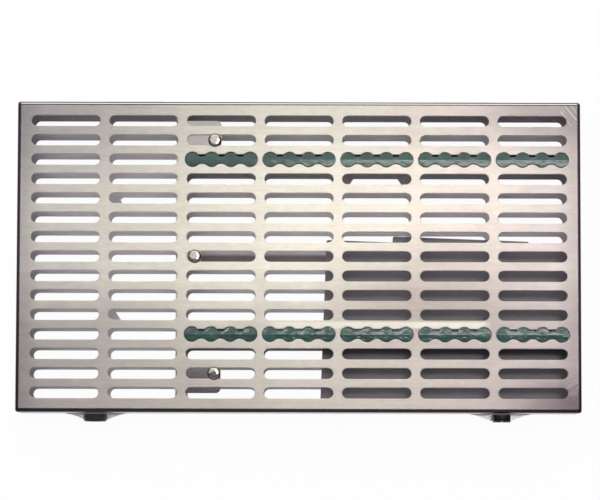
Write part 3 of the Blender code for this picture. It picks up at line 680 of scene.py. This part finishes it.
def slot_outline(row, column, clipped, grow):
    x, y = column_x(column), row_y(row)
    if not clipped:
        return obround(x, y, SLOT_HALF_X, SLOT_HALF_Y, grow)
    points = []
    radius = SLOT_HALF_Y + grow
    for side in (1, -1):
        far = CLIPPED.get((row, column, side))
        if far:
            reach = {far: SLOT_HALF_X - CLIP_DEEP + grow, -far: SLOT_HALF_X - CLIP_SHALLOW + grow}
            points.append((x + side * reach[-side], y - side * radius))
            if row == BOWED_ROW:
                middle = (reach[-side] + reach[side]) / 2
                points += [(x + side * (middle - bulge), y + side * share * radius)
                           for share, bulge in BOW]
            points.append((x + side * reach[side], y + side * radius))
        else:
            start = -side * QUARTER
            points += arc(x + side * (SLOT_HALF_X - SLOT_HALF_Y), y, radius, start,
                          start + math.pi, SLOT_STEPS)
    return points


def hole_outlines(is_base, grow):
    outlines = []
    for row in range(1, ROWS + 1):
        for column in range(1, COLUMNS + 1):
            if row in (REAR_RAIL, FRONT_RAIL) and column >= RAIL_START:
                outlines.append(lobed(column_x(column), row_y(row), grow))
            elif not (is_base and row == BLANK_ROW and column >= RAIL_START):
                clipped = is_base and any((row, column, side) in CLIPPED for side in (1, -1))
                outlines.append(slot_outline(row, column, clipped, grow))
    return outlines


def bordered(inset, radius):
    low = (-HALF_X + inset, CY - HALF_Y + inset)
    high = (HALF_X - inset, CY + HALF_Y - inset)
    return rounded(low, high, radius)


def rolled(radius, drop, z, way, steps):
    """A quarter turn down from a face, as (how far from the edge, height)."""
    angles = [QUARTER * i / steps for i in range(steps + 1)]
    return [(radius * (1 - math.sin(a)), z - way * drop * (1 - math.cos(a))) for a in angles]


def pan(name, face_z, edge_z, is_base, material, body, cad_node, cutters):
    """A pressed sheet: a slotted face with rolled slot rims, bends all round, and walls."""
    way = -1 if is_base else 1
    builder = bmesh.new()
    inner_face = face_z - way * SHEET
    outlines = [bordered(FLAT_INSET, CORNER_RADIUS)] + hole_outlines(is_base, RIM)
    merge(builder, filled(outlines, face_z, way > 0))
    merge(builder, filled(outlines, inner_face, way < 0))
    # How far the holes grow and at what height, from the face through the sheet
    ladder = rolled(RIM, RIM_DROP, face_z, way, RIM_STEPS)
    ladder += reversed(rolled(RIM, RIM_DROP, inner_face, -way, RIM_STEPS))
    heights = [z for _, z in ladder]
    per_level = [hole_outlines(is_base, grow) for grow, _ in ladder]
    for hole in zip(*per_level):
        strip(builder, [[(x, y, z) for x, y in outline] for outline, z in zip(hole, heights)])
    # From the flat round the bend, down to the edge and back up inside
    profile = [(FLAT_INSET, face_z)] + rolled(BEND, BEND, face_z, way, BEND_STEPS)
    corner = [(0.0, edge_z + way * EDGE_LIP), (EDGE_LIP * 0.3, edge_z + way * EDGE_LIP * 0.3),
              (EDGE_LIP, edge_z)]
    profile += corner + [(SHEET - inset, z) for inset, z in reversed(corner)]
    inner = rolled(BEND - SHEET, BEND - SHEET, inner_face, way, INNER_STEPS)
    profile += [(SHEET + inset, z) for inset, z in reversed(inner)] + [(FLAT_INSET, inner_face)]
    loops = []
    for inset, z in profile:
        radius = CORNER_RADIUS if inset >= FLAT_INSET - 1e-9 else max(BEND - inset, CORNER_RADIUS)
        loops.append([(x, y, z) for x, y in bordered(inset, radius)])
    strip(builder, loops)
    finish_piece(name, builder, material, body, [cad_node], cutters, 50)


NOTCH_HALF, SHAFT_HOLE = 0.0017, 0.0023
INSIDE, OUTSIDE = 0.002, 0.001


def latch_place(side, quarter=0):
    """Where a latch's shaft leaves the front wall, with Z outward, turned by so many quarters."""
    _, _, middle = middled(f"latch_knob_{side}")
    return upright(middle.x, FRONT, middle.z) @ Matrix.Rotation(-quarter * QUARTER, 4, "Z")


def wall_openings(with_shafts):
    """Helper forms: the hinge notches in a rear wall, and the latch shafts' holes."""
    openings = []
    for side in SIDES:
        low, high, middle = middled(f"hinge_pin_{side}")
        reach = (high.x - low.x) / 2
        openings.append(block((middle.x - reach, CY + HALF_Y - INSIDE, middle.z - NOTCH_HALF),
                              (middle.x + reach, CY + HALF_Y + OUTSIDE, middle.z + NOTCH_HALF)))
        if with_shafts:
            profile = [(0, -INSIDE), (SHAFT_HOLE, -INSIDE), (SHAFT_HOLE, OUTSIDE), (0, OUTSIDE)]
            openings.append(turned(profile, 32, latch_place(side)))
    return openings


pan("lid_shell", TOP, LID_LOW.z, False, LID_STEEL, "lid", "lid", wall_openings(True))
pan("base_shell", BASE_LOW.z, BASE_HIGH.z, True, BASE_STEEL, "base", "base_tray",
    wall_openings(False))


# Silicone inserts and cradles


def plug_half_width(x, radius, neck, straight):
    """How far the plug reaches to one side at x from its middle."""
    half = LOBE_PITCH / 2
    fillet = neck_fillet(radius, neck)
    away = min(abs(x - lobe_x(lobe)) for lobe in range(LOBES))
    meeting = radius * math.cos(math.atan2(neck + fillet, half))
    circle = math.sqrt(max(radius**2 - away**2, 0))
    if abs(x) > LAST_LOBE:
        return circle
    if straight:
        return max(circle, neck)
    return circle if away <= meeting else neck + fillet - math.sqrt(fillet**2 - (half - away)**2)


# The plug's face falls from its middle, less at the rear of the necks. Its points lie at shares of
# the flat and of the rounded edge.
REAR_SLOPE, NECK_SLOPE, FRONT_SLOPE = 0.050, -0.032, 0.033
FLAT_SHARES, EDGE_SHARES = (0.04, 0.3, 0.65, 0.96), (0, 0.25, 0.5, 0.7, 0.86, 0.96, 1)
PLUG_EDGE = 0.0004
END_STEPS, MIDDLE_STEPS = 12, 84


def plug(centre, top, bottom, way):
    """The lobed plug: its face falls both ways from a middle ridge."""
    radius = LOBE_R - GAP
    end = LAST_LOBE + radius
    xs = [-end + radius * (1 - math.cos(QUARTER * i / END_STEPS)) for i in range(END_STEPS + 1)]
    xs += [-LAST_LOBE + 2 * LAST_LOBE * i / MIDDLE_STEPS for i in range(1, MIDDLE_STEPS)]
    xs += [-x for x in reversed(xs[:END_STEPS + 1])]
    builder = bmesh.new()
    loops = []
    for x in xs:
        rear = plug_half_width(x, radius, PLUG_NECK, True)
        front = plug_half_width(x, radius, FRONT_NECK - GAP, False)
        inner = abs(x) < LAST_LOBE
        neckness = 0.5 + 0.5 * math.cos(2 * math.pi * x / LOBE_PITCH) if inner else 0
        rear_slope = REAR_SLOPE + NECK_SLOPE * neckness
        row = []
        for side, width, slope in ((-1, front, FRONT_SLOPE), (1, rear, rear_slope)):
            flat = max(width - PLUG_EDGE, 0)
            reaches = [flat * share for share in FLAT_SHARES]
            reaches += [flat + (width - flat) * share for share in EDGE_SHARES]
            points = []
            for reach in reaches:
                past = max(reach - (width - PLUG_EDGE), 0) / PLUG_EDGE
                sag = slope * reach + PLUG_EDGE * (1 - math.sqrt(max(1 - past**2, 0)))
                points.append((centre[0] + x, centre[1] + side * reach, top - way * sag))
            row += points[::-1] + [(centre[0] + x, centre[1], top)] if side < 0 else points
        foot = [(centre[0] + x, centre[1] + y, bottom) for y in (rear, -front)]
        loops.append(row + foot)
    strip(builder, loops)
    return builder


# How far a plug runs into its bar
PLUG_ROOT = 0.001


def silicone_bar(low, high, notches, edge):
    """The bar behind the plug: a side outline with its notches, its edges rounded."""
    outline = [(low.x, low.z)] + notches[0] + [(high.x, low.z), (high.x, high.z)]
    outline += notches[1] + [(low.x, high.z)]
    place = upright(0, (low.y + high.y) / 2, 0)
    half = (high.y - low.y) / 2
    return slab(outline, -half, half, edge, place, 3)


def lid_insert(node_name, centre):
    """A bar with shallow grooves, and deep pockets where the plug leaves the opening free."""
    low, high = (corner.copy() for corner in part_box(node_name))
    face = high.z
    high.z = TOP - SHEET - GAP
    radius, depth, half = 0.0028, 0.0012, 0.0033
    pocket_half, pocket_depth = 0.0020, 0.0045
    grooves, pockets = [], []
    for neck in (-1, 0, 1):
        x = centre[0] + neck * LOBE_PITCH
        mouth = arc(x, low.z + depth - radius, radius, math.radians(155), math.radians(25), 8)
        grooves += [(x - half, low.z)] + [(px, max(pz, low.z)) for px, pz in mouth]
        grooves += [(x + half, low.z)]
        start, end = centre[1] + PLUG_NECK + 0.0001, centre[1] + REAR_NECK + 0.0004
        pockets.append(block((x - pocket_half, start, high.z - pocket_depth),
                             (x + pocket_half, end, high.z + 0.0001)))
    builder = carved(silicone_bar(low, high, (grooves, []), 0.0005), pockets)
    merge(builder, plug(centre, face, high.z - PLUG_ROOT, 1))
    name = node_name.replace("lid_insert", "lid_silicone")
    finish_piece(name, builder, SILICONE, "lid", [node_name], angle=60)


def cradle(node_name, centre):
    """A bar with a round notch for an instrument over each lobe."""
    low, high = (corner.copy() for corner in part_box(node_name))
    face = low.z
    low.z = SHEET + GAP
    depth, radius = 0.0040, 0.0026
    mouth, throat, lead_in = 0.0043, 0.0031, 0.0005
    notches = []
    for lobe in reversed(range(LOBES)):
        x = centre[0] + lobe_x(lobe)
        floor = arc(x, high.z - depth + radius, radius, 0, -math.pi, 10)
        notches += [(x + mouth, high.z), (x + throat, high.z - lead_in)] + floor
        notches += [(x - throat, high.z - lead_in), (x - mouth, high.z)]
    builder = silicone_bar(low, high, ([], notches), 0.0004)
    merge(builder, plug(centre, face, low.z + PLUG_ROOT, -1))
    name = node_name.replace("cradle", "silicone_cradle")
    finish_piece(name, builder, SILICONE, "base", [node_name], angle=60)


for rail, row in RAIL_ROWS:
    for number, column in enumerate(range(RAIL_START, COLUMNS + 1), 1):
        place = (column_x(column), row_y(row))
        lid_insert(f"lid_insert_{rail}_{number}", place)
        cradle(f"cradle_{rail}_{number}", place)


# Divider and rivets


def divider():
    """An upright sheet whose three tabs bend over under the lid's face."""
    low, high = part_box("divider")
    top = high.z
    left = low.x
    bend, corner, foot_corner, edge = 0.0013, 0.0030, 0.0012, 0.0001
    middle_y = (low.y + high.y) / 2
    wall = rounded((low.y, low.z), (high.y, top - bend), foot_corner, 4)
    builder = slab(wall, left, left + SHEET, edge, YZ_PLANE)
    outer_y = HALF_Y - 0.0115
    inner_y = row_y(REAR_RAIL) - CY + LOBE_R + INSERT_LAP + 0.00065
    middle_half, middle_reach = 0.0070, 0.0143
    spans = ((inner_y, outer_y, high.x),
             (-middle_half, middle_half, left + SHEET / 2 + middle_reach),
             (-outer_y, -inner_y, high.x))
    for start, end, tip in spans:
        start += middle_y
        end += middle_y
        tab = [(left + bend, end), (left + bend, start)]
        tab += arc(tip - corner, start + corner, corner, -QUARTER, 0, 8)
        tab += arc(tip - corner, end - corner, corner, 0, QUARTER, 8)
        merge(builder, slab(tab, top - SHEET, top, edge))
        turn = arc(left + bend, top - bend, bend, math.pi, QUARTER, 8)
        turn += arc(left + bend, top - bend, bend - SHEET, QUARTER, math.pi, 4)
        place = upright(0, (start + end) / 2, 0)
        half = (end - start) / 2
        merge(builder, slab(turn, -half, half, 0.00008, place, 1))
    finish_piece("divider_sheet", builder, DIVIDER_STEEL, "lid", ["divider"],
                 angle=40)


# A rivet's head and tail in millimetres: (radius, how far down)
RIVET_HEAD = ((0, 0), (1.2, 0), (2.5, 0), (2.65, 0.01), (2.9, 0.05), (3.1, 0.14), (3.35, 0.33),
              (3.65, 0.58), (3.9, 0.78), (3.99, 0.92))
RIVET_TAIL = ((2.0, 0), (3.1, 0), (3.2, 0.1), (3.1, 0.3), (2.2, 0.7))


def rivet(name):
    """A button head, flat on top with a soft shoulder, a shank and a flattened tail."""
    node_name = f"divider_rivet_{name}"
    low, high, middle = middled(node_name)
    under = TOP + GAP
    tail = TOP - SHEET - GAP - SHEET - GAP
    mm = 0.001
    profile = [(radius * mm, high.z - down * mm) for radius, down in RIVET_HEAD]
    profile += [(3.99 * mm, under + 0.08 * mm), (3.9 * mm, under), (2.0 * mm, under)]
    profile += [(radius * mm, tail - down * mm) for radius, down in RIVET_TAIL]
    profile += [(1.2 * mm, low.z + 0.02 * mm), (0, low.z)]
    place = Matrix.Translation((middle.x, middle.y, 0))
    finish_piece(f"rivet_{name}", turned(profile, 64, place), RIVET_STEEL, "lid",
                 [node_name])


divider()
for name in ("rear", "middle", "front"):
    rivet(name)


# Hinges

# Spot welds, as (radius, height) profiles
LEAF_WELD = ((0, 0.00012), (0.0009, 0.0001), (0.0013, 0.00002), (0.0015, -0.0001), (0, -0.0001))
LIP_WELD = ((0, 0.00009), (0.0008, 0.00007), (0.0012, 0.00001), (0.0014, -0.0001), (0, -0.0001))


def leaf(side, which):
    """A hinge leaf: a sheet inside the wall, rolled round the pin at its own knuckles."""
    node_name = f"hinge_{which}_leaf_{side}"
    low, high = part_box(node_name)
    _, _, pin = middled(f"hinge_pin_{side}")
    up = 1 if which == "lid" else -1
    knuckle, sheet, half = 0.00138, 0.0008, 0.0180
    lid_knuckle, base_knuckle = 0.0065, 0.0068
    outer = CY + HALF_Y - SHEET - GAP
    inner = outer - sheet
    foot = high.z if up > 0 else low.z
    flat_low, flat_high = sorted((foot, pin.z + up * (knuckle + GAP)))
    place = Matrix.Translation((pin.x, 0, 0)) @ YZ_PLANE
    flat = rounded((-half, flat_low), (half, flat_high), 0.0008, 4)
    builder = slab(flat, -sheet, 0, 0.0001, upright(pin.x, inner, 0))
    turn = up * QUARTER
    roll = arc(pin.y, pin.z, knuckle, turn - up * 1.5 * math.pi, turn, 30)
    crook = pin.z + up * (knuckle - sheet)
    root = pin.z + up * (knuckle + 0.0012)
    points = [(inner, root), (inner, crook), (pin.y - knuckle, crook)] + roll
    points += [(outer, pin.z + up * knuckle), (outer, root)]
    spans = ((-half, -base_knuckle), (base_knuckle, half))
    if which == "lid":
        spans = ((-lid_knuckle, lid_knuckle),)
    for start, end in spans:
        merge(builder, slab(points, start, end, 0.00012, place, 1))
    for x in (-0.012, 0.0, 0.012):
        spot = upright(pin.x + x, inner, (flat_low + flat_high) / 2)
        merge(builder, turned(LEAF_WELD, 24, spot))
    finish_piece(f"hinge_{which}_{side}", builder, POLISHED, which, [node_name])


def pin(side):
    low, high, middle = middled(f"hinge_pin_{side}")
    half = (high.x - low.x) / 2
    radius = (high.z - low.z) / 2
    profile = [(0, -half), (radius * 0.55, -half + 0.00004), (radius * 0.9, -half + 0.0002),
               (radius, -half + 0.0004)]
    profile += [(r, -h) for r, h in reversed(profile)]
    place = Matrix.Translation(middle) @ Matrix.Rotation(QUARTER, 4, "Y")
    finish_piece(f"pin_{side}", turned(profile, 32, place), POLISHED, "base",
                 [f"hinge_pin_{side}"])


for side in SIDES:
    leaf(side, "base")
    leaf(side, "lid")
    pin(side)


# Latches: knob, cam and lip


def knob(side, quarter):
    """A round knob with two flats, a slot across its face and a dimple at each flat's end."""
    node_name = f"latch_knob_{side}"
    low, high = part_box(node_name)
    reach = FRONT - low.y
    back, flat, radius = 0.0007, 0.0051, 0.0072
    face_round, back_round, steps = 0.0018, 0.0012, 12
    profile = [(radius - face_round, reach)]
    profile += arc(radius - face_round, reach - face_round, face_round, QUARTER, 0, 8)[1:]
    profile += arc(radius - back_round, back + back_round, back_round, 0, -QUARTER, 6)
    builder = bmesh.new()
    loops = []
    for r, h in profile:
        lean = math.asin(min(flat / r, 1))
        ring = []
        for turn in (0, math.pi):
            ring += [(r * math.cos(turn + a), r * math.sin(turn + a))
                     for a in [lean * (i / steps - 1) for i in range(2 * steps + 1)]]
            x, y = ring[-1]
            ring += [(x - 2 * x * i / steps, y) for i in range(1, steps)]
        loops.append([(x, y, h) for x, y in ring])
    rows = strip(builder, loops)
    builder.faces.new(rows[0])
    builder.faces.new(rows[-1][::-1])
    bmesh.ops.remove_doubles(builder, verts=builder.verts, dist=1e-6)
    face_out(builder)
    inside = FRONT - high.y
    head = -(CAM_SEAT + SHEET + GAP)
    shaft = [(0, back + 0.0004), (0.00305, back + 0.0004), (0.00305, GAP), (0.0020, GAP),
             (0.0020, head), (0.0034, head), (0.0034, head - 0.0002), (0.0030, head - 0.0005),
             (0.0020, inside + 0.0001), (0, inside)]
    merge(builder, turned(shaft, 40))
    place = latch_place(side, quarter)
    put(builder, place)
    slot_half, slot_depth = 0.00055, 0.0009
    slot = block((-0.009, -slot_half, reach - slot_depth), (0.009, slot_half, reach + 0.001))
    put(slot, place)
    cutters = [slot]
    ball_radius, ball_x, ball_out, ball_height = 0.0012, 0.0053, 0.0009, 0.0031
    for x in (-ball_x, ball_x):
        for y in (-1, 1):
            ball = bmesh.new()
            bmesh.ops.create_icosphere(ball, subdivisions=3, radius=ball_radius)
            spot = Matrix.Translation((x, y * (flat + ball_out), ball_height))
            put(ball, place @ spot)
            cutters.append(ball)
    finish_piece(f"knob_{side}", builder, KNOB_STEEL, f"latch_{side}", [node_name],
                 cutters, 30)


def cam(side, quarter):
    """A drop-shaped cam behind the wall, with a boss towards it."""
    node_name = f"latch_cam_{side}"
    hub, tip, reach = 0.0042, 0.0022, 0.0115
    gap = reach - tip
    lean = math.acos((hub - tip) / gap)
    outline = arc(0, 0, hub, lean, 2 * math.pi - lean, 28) + arc(gap, 0, tip, -lean, lean, 14)
    place = latch_place(side, quarter)
    builder = slab(outline, -CAM_SEAT - SHEET, -CAM_SEAT, 0.00018, place)
    bore, boss_radius, near = 0.0023, 0.0033, -SHEET - GAP
    boss = [(bore, -CAM_SEAT), (boss_radius, -CAM_SEAT), (boss_radius, near - 0.0001),
            (boss_radius - 0.0001, near), (bore, near), (bore, -CAM_SEAT)]
    merge(builder, turned(boss, 32, place))
    finish_piece(f"cam_{side}", builder, POLISHED, f"latch_{side}", [node_name])


def lip(side):
    """A bell-shaped lip bent out from a flange that is spot-welded to the base's front wall."""
    node_name = f"latch_lip_{side}"
    low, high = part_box(node_name)
    x0 = (low.x + high.x) / 2
    top = high.z
    peak, flank, tip, steps = 0.0022, 0.0156, 0.0049, 24
    flange_half, flange_sheet, fillet_radius = 0.0100, 0.0008, 0.0009
    edge = GAP + 0.0004
    right = []
    for i in range(steps + 1):
        t = i / steps
        right.append((peak + t * flank, -edge - (tip - edge) * (1 - t * t * (3 - 2 * t))))
    outline = [(-x, y) for x, y in reversed(right)] + right
    outline += [(peak + flank, -GAP), (-peak - flank, -GAP)]
    place = Matrix.Translation((x0, FRONT, 0))
    builder = slab(outline, top - SHEET, top, 0.00015, place)
    flange = rounded((-flange_half, low.z), (flange_half, top - 0.0005), 0.0012, 5)
    merge(builder, slab(flange, GAP, GAP + flange_sheet, 0.0001, place @ XZ_PLANE))
    fillet = [(0, 0), (fillet_radius, 0)]
    fillet += arc(fillet_radius, -fillet_radius, fillet_radius, QUARTER, math.pi, 6)[1:]
    flange_front = FRONT - GAP - flange_sheet
    bend = Matrix.Translation((x0, flange_front, top - SHEET))
    turn = Matrix(((0, 0, 1, 0), (-1, 0, 0, 0), (0, 1, 0, 0), (0, 0, 0, 1)))
    fillet_half = flange_half - 0.0002
    merge(builder, slab(fillet, -fillet_half, fillet_half, 0.00004, bend @ turn, 1))
    for x in (-0.006, 0.006):
        spot = upright(x0 + x, flange_front, top - 0.0042)
        merge(builder, turned(LIP_WELD, 24, spot))
    finish_piece(f"lip_{side}", builder, LIP_STEEL, "base", [node_name])


# The right latch is drawn a quarter turn round.
for quarter, side in enumerate(SIDES):
    knob(side, quarter)
    cam(side, quarter)
    lip(side)


# Loose floor plate


def floor_plate():
    """The loose plate, a little askew, with a tab at the rear and a slit for the cradles."""
    low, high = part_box("floor_plate")
    length, depth, skew = 0.1509, 0.0978, math.radians(-2.1)
    side_room, front_room, slit_room = 0.0015, 0.0081, 0.0008
    left = HALF_X - side_room - length
    rear = CY - HALF_Y + front_room + depth
    tab_start, tab_length, tab_depth = 0.0403, 0.0831, 0.0037
    tab_end = tab_start + tab_length
    corner = 0.0012
    outline = arc(corner, -depth + corner, corner, math.pi, 1.5 * math.pi, 5)
    outline += arc(length - corner, -depth + corner, corner, 1.5 * math.pi, 2 * math.pi, 5)
    outline += arc(length - corner, -corner, corner, 0, QUARTER, 5) + [(tab_end, 0)]
    outline += arc(tab_end - corner, tab_depth - corner, corner, 0, QUARTER, 5)
    outline += arc(tab_start + corner, tab_depth - corner, corner, QUARTER, math.pi, 5)
    outline += [(tab_start, 0)] + arc(corner, -corner, corner, QUARTER, math.pi, 5)
    place = Matrix.Translation((left, rear, 0)) @ Matrix.Rotation(skew, 4, "Z")
    builder = slab(outline, low.z, high.z, 0.00018, place)
    slit_half = LOBE_R + INSERT_LAP + slit_room
    slit_reach = (PITCH_X - INSERT_SPACING) / 2 + slit_room
    slit_y = row_y(FRONT_RAIL)
    slit = block((column_x(RAIL_START) - slit_reach, slit_y - slit_half, low.z - 0.001),
                 (column_x(COLUMNS) + slit_reach, slit_y + slit_half, high.z + 0.001))
    finish_piece("loose_plate", builder, PLATE_STEEL, "base", ["floor_plate"],
                 [slit])


floor_plate()


# Floor, sky and lamps


def add_floor():
    """A pale matt floor that looks nearly white to the camera and in reflections."""
    mesh = bpy.data.meshes.new("floor")
    r = FLOOR_REACH
    mesh.from_pydata([(-r, -r, 0), (r, -r, 0), (r, r, 0), (-r, r, 0)], [], [(0, 1, 2, 3)])
    floor = linked("floor", mesh)
    floor.location.z = -FLOOR_DROP
    material, tree, shader = new_material("pale_floor")
    shader.inputs["Base Color"].default_value = (0.9, 0.9, 0.9, 1)
    shader.inputs["Roughness"].default_value = 0.9
    glow = node(tree, "ShaderNodeEmission")
    path = node(tree, "ShaderNodeLightPath")
    seen = maths(tree, "MAXIMUM", path.outputs["Is Glossy Ray"], path.outputs["Is Transmission Ray"])
    seen = maths(tree, "MAXIMUM", path.outputs["Is Camera Ray"], seen)
    blend = node(tree, "ShaderNodeMixShader")
    feed(blend.inputs[0], times(tree, seen, FLOOR_GLOW))
    feed(blend.inputs[1], shader.outputs[0])
    feed(blend.inputs[2], glow.outputs[0])
    feed(tree.nodes["Material Output"].inputs["Surface"], blend.outputs[0])
    mesh.materials.append(material)


def add_world():
    """A studio sky: pale overhead, bright behind, dim low down and in front, with one softbox."""
    world = bpy.data.worlds.new("studio")
    bpy.context.scene.world = world
    world.use_nodes = True
    tree = world.node_tree
    background = tree.nodes["Background"]
    coordinates = node(tree, "ShaderNodeTexCoord")
    x, y, z = axes(tree, coordinates.outputs["Generated"])
    sky = ramp(tree, z, SKY)
    up = maths(tree, "MAXIMUM", z, 0.05)
    u = maths(tree, "DIVIDE", x, up)
    v = maths(tree, "DIVIDE", y, up)
    aside = maths(tree, "DIVIDE", maths(tree, "ABSOLUTE", x), maths(tree, "MAXIMUM", y, 0.01))
    behind = times(tree, fit(tree, v, *BEHIND_RISE, 0, 1, True),
                   fit(tree, aside, *BEHIND_FALL, 1, 0, True))
    sky = mix(tree, behind, sky, BEHIND)
    shade = times(tree, fit(tree, v, *FRONT_EDGE, 1, 0, True), fit(tree, v, *FRONT_END, 0, 1, True))
    sky = tinted(tree, sky, FRONT_SHADE, shade)
    masks = []
    for value, (middle, half) in ((u, SOFTBOX_U), (v, SOFTBOX_V)):
        away = maths(tree, "ABSOLUTE", maths(tree, "SUBTRACT", value, middle))
        masks.append(fit(tree, away, half - SOFTBOX_EDGE, half + SOFTBOX_EDGE, 1, 0, True))
    sky = mix(tree, times(tree, *masks), sky, SOFTBOX)
    feed(background.inputs["Color"], sky)


def add_light(name, location, target, size, power):
    data = bpy.data.lights.new(name, "AREA")
    data.shape = "RECTANGLE"
    data.size, data.size_y = size
    data.energy = power
    light = linked(name, data)
    light.location = location
    light.rotation_mode = "QUATERNION"
    light.rotation_quaternion = (Vector(target) - Vector(location)).to_track_quat("-Z", "Y")
    light.visible_camera = False
    light.visible_glossy = False


# Directions in the sky are u = x / z and v = y / z, so 0, 0 is the zenith.
FLOOR_REACH, FLOOR_DROP, FLOOR_GLOW = 15, 0.0002, 0.96
SKY = ((0.0, (0.24, 0.23, 0.25)), (0.45, (0.34, 0.33, 0.35)), (0.85, (0.62, 0.61, 0.63)),
       (1.0, (0.78, 0.77, 0.78)))
BEHIND = (1.5, 1.5, 1.5)
BEHIND_RISE, BEHIND_FALL = (0.45, 0.60), (0.8, 1.1)
FRONT_SHADE = (0.16, 0.15, 0.18)
FRONT_EDGE, FRONT_END = (0.038, 0.062), (-0.9, -0.4)
SOFTBOX = (6.2, 6.1, 5.9)
SOFTBOX_U, SOFTBOX_V, SOFTBOX_EDGE = (0.069, 0.070), (0.086, 0.045), 0.018
add_floor()
add_world()
add_light("key", (-0.3, 0.4, 1.5), (0, CY, 0), (1.0, 1.0), 12)

bpy.context.scene.view_settings.view_transform = "Standard"
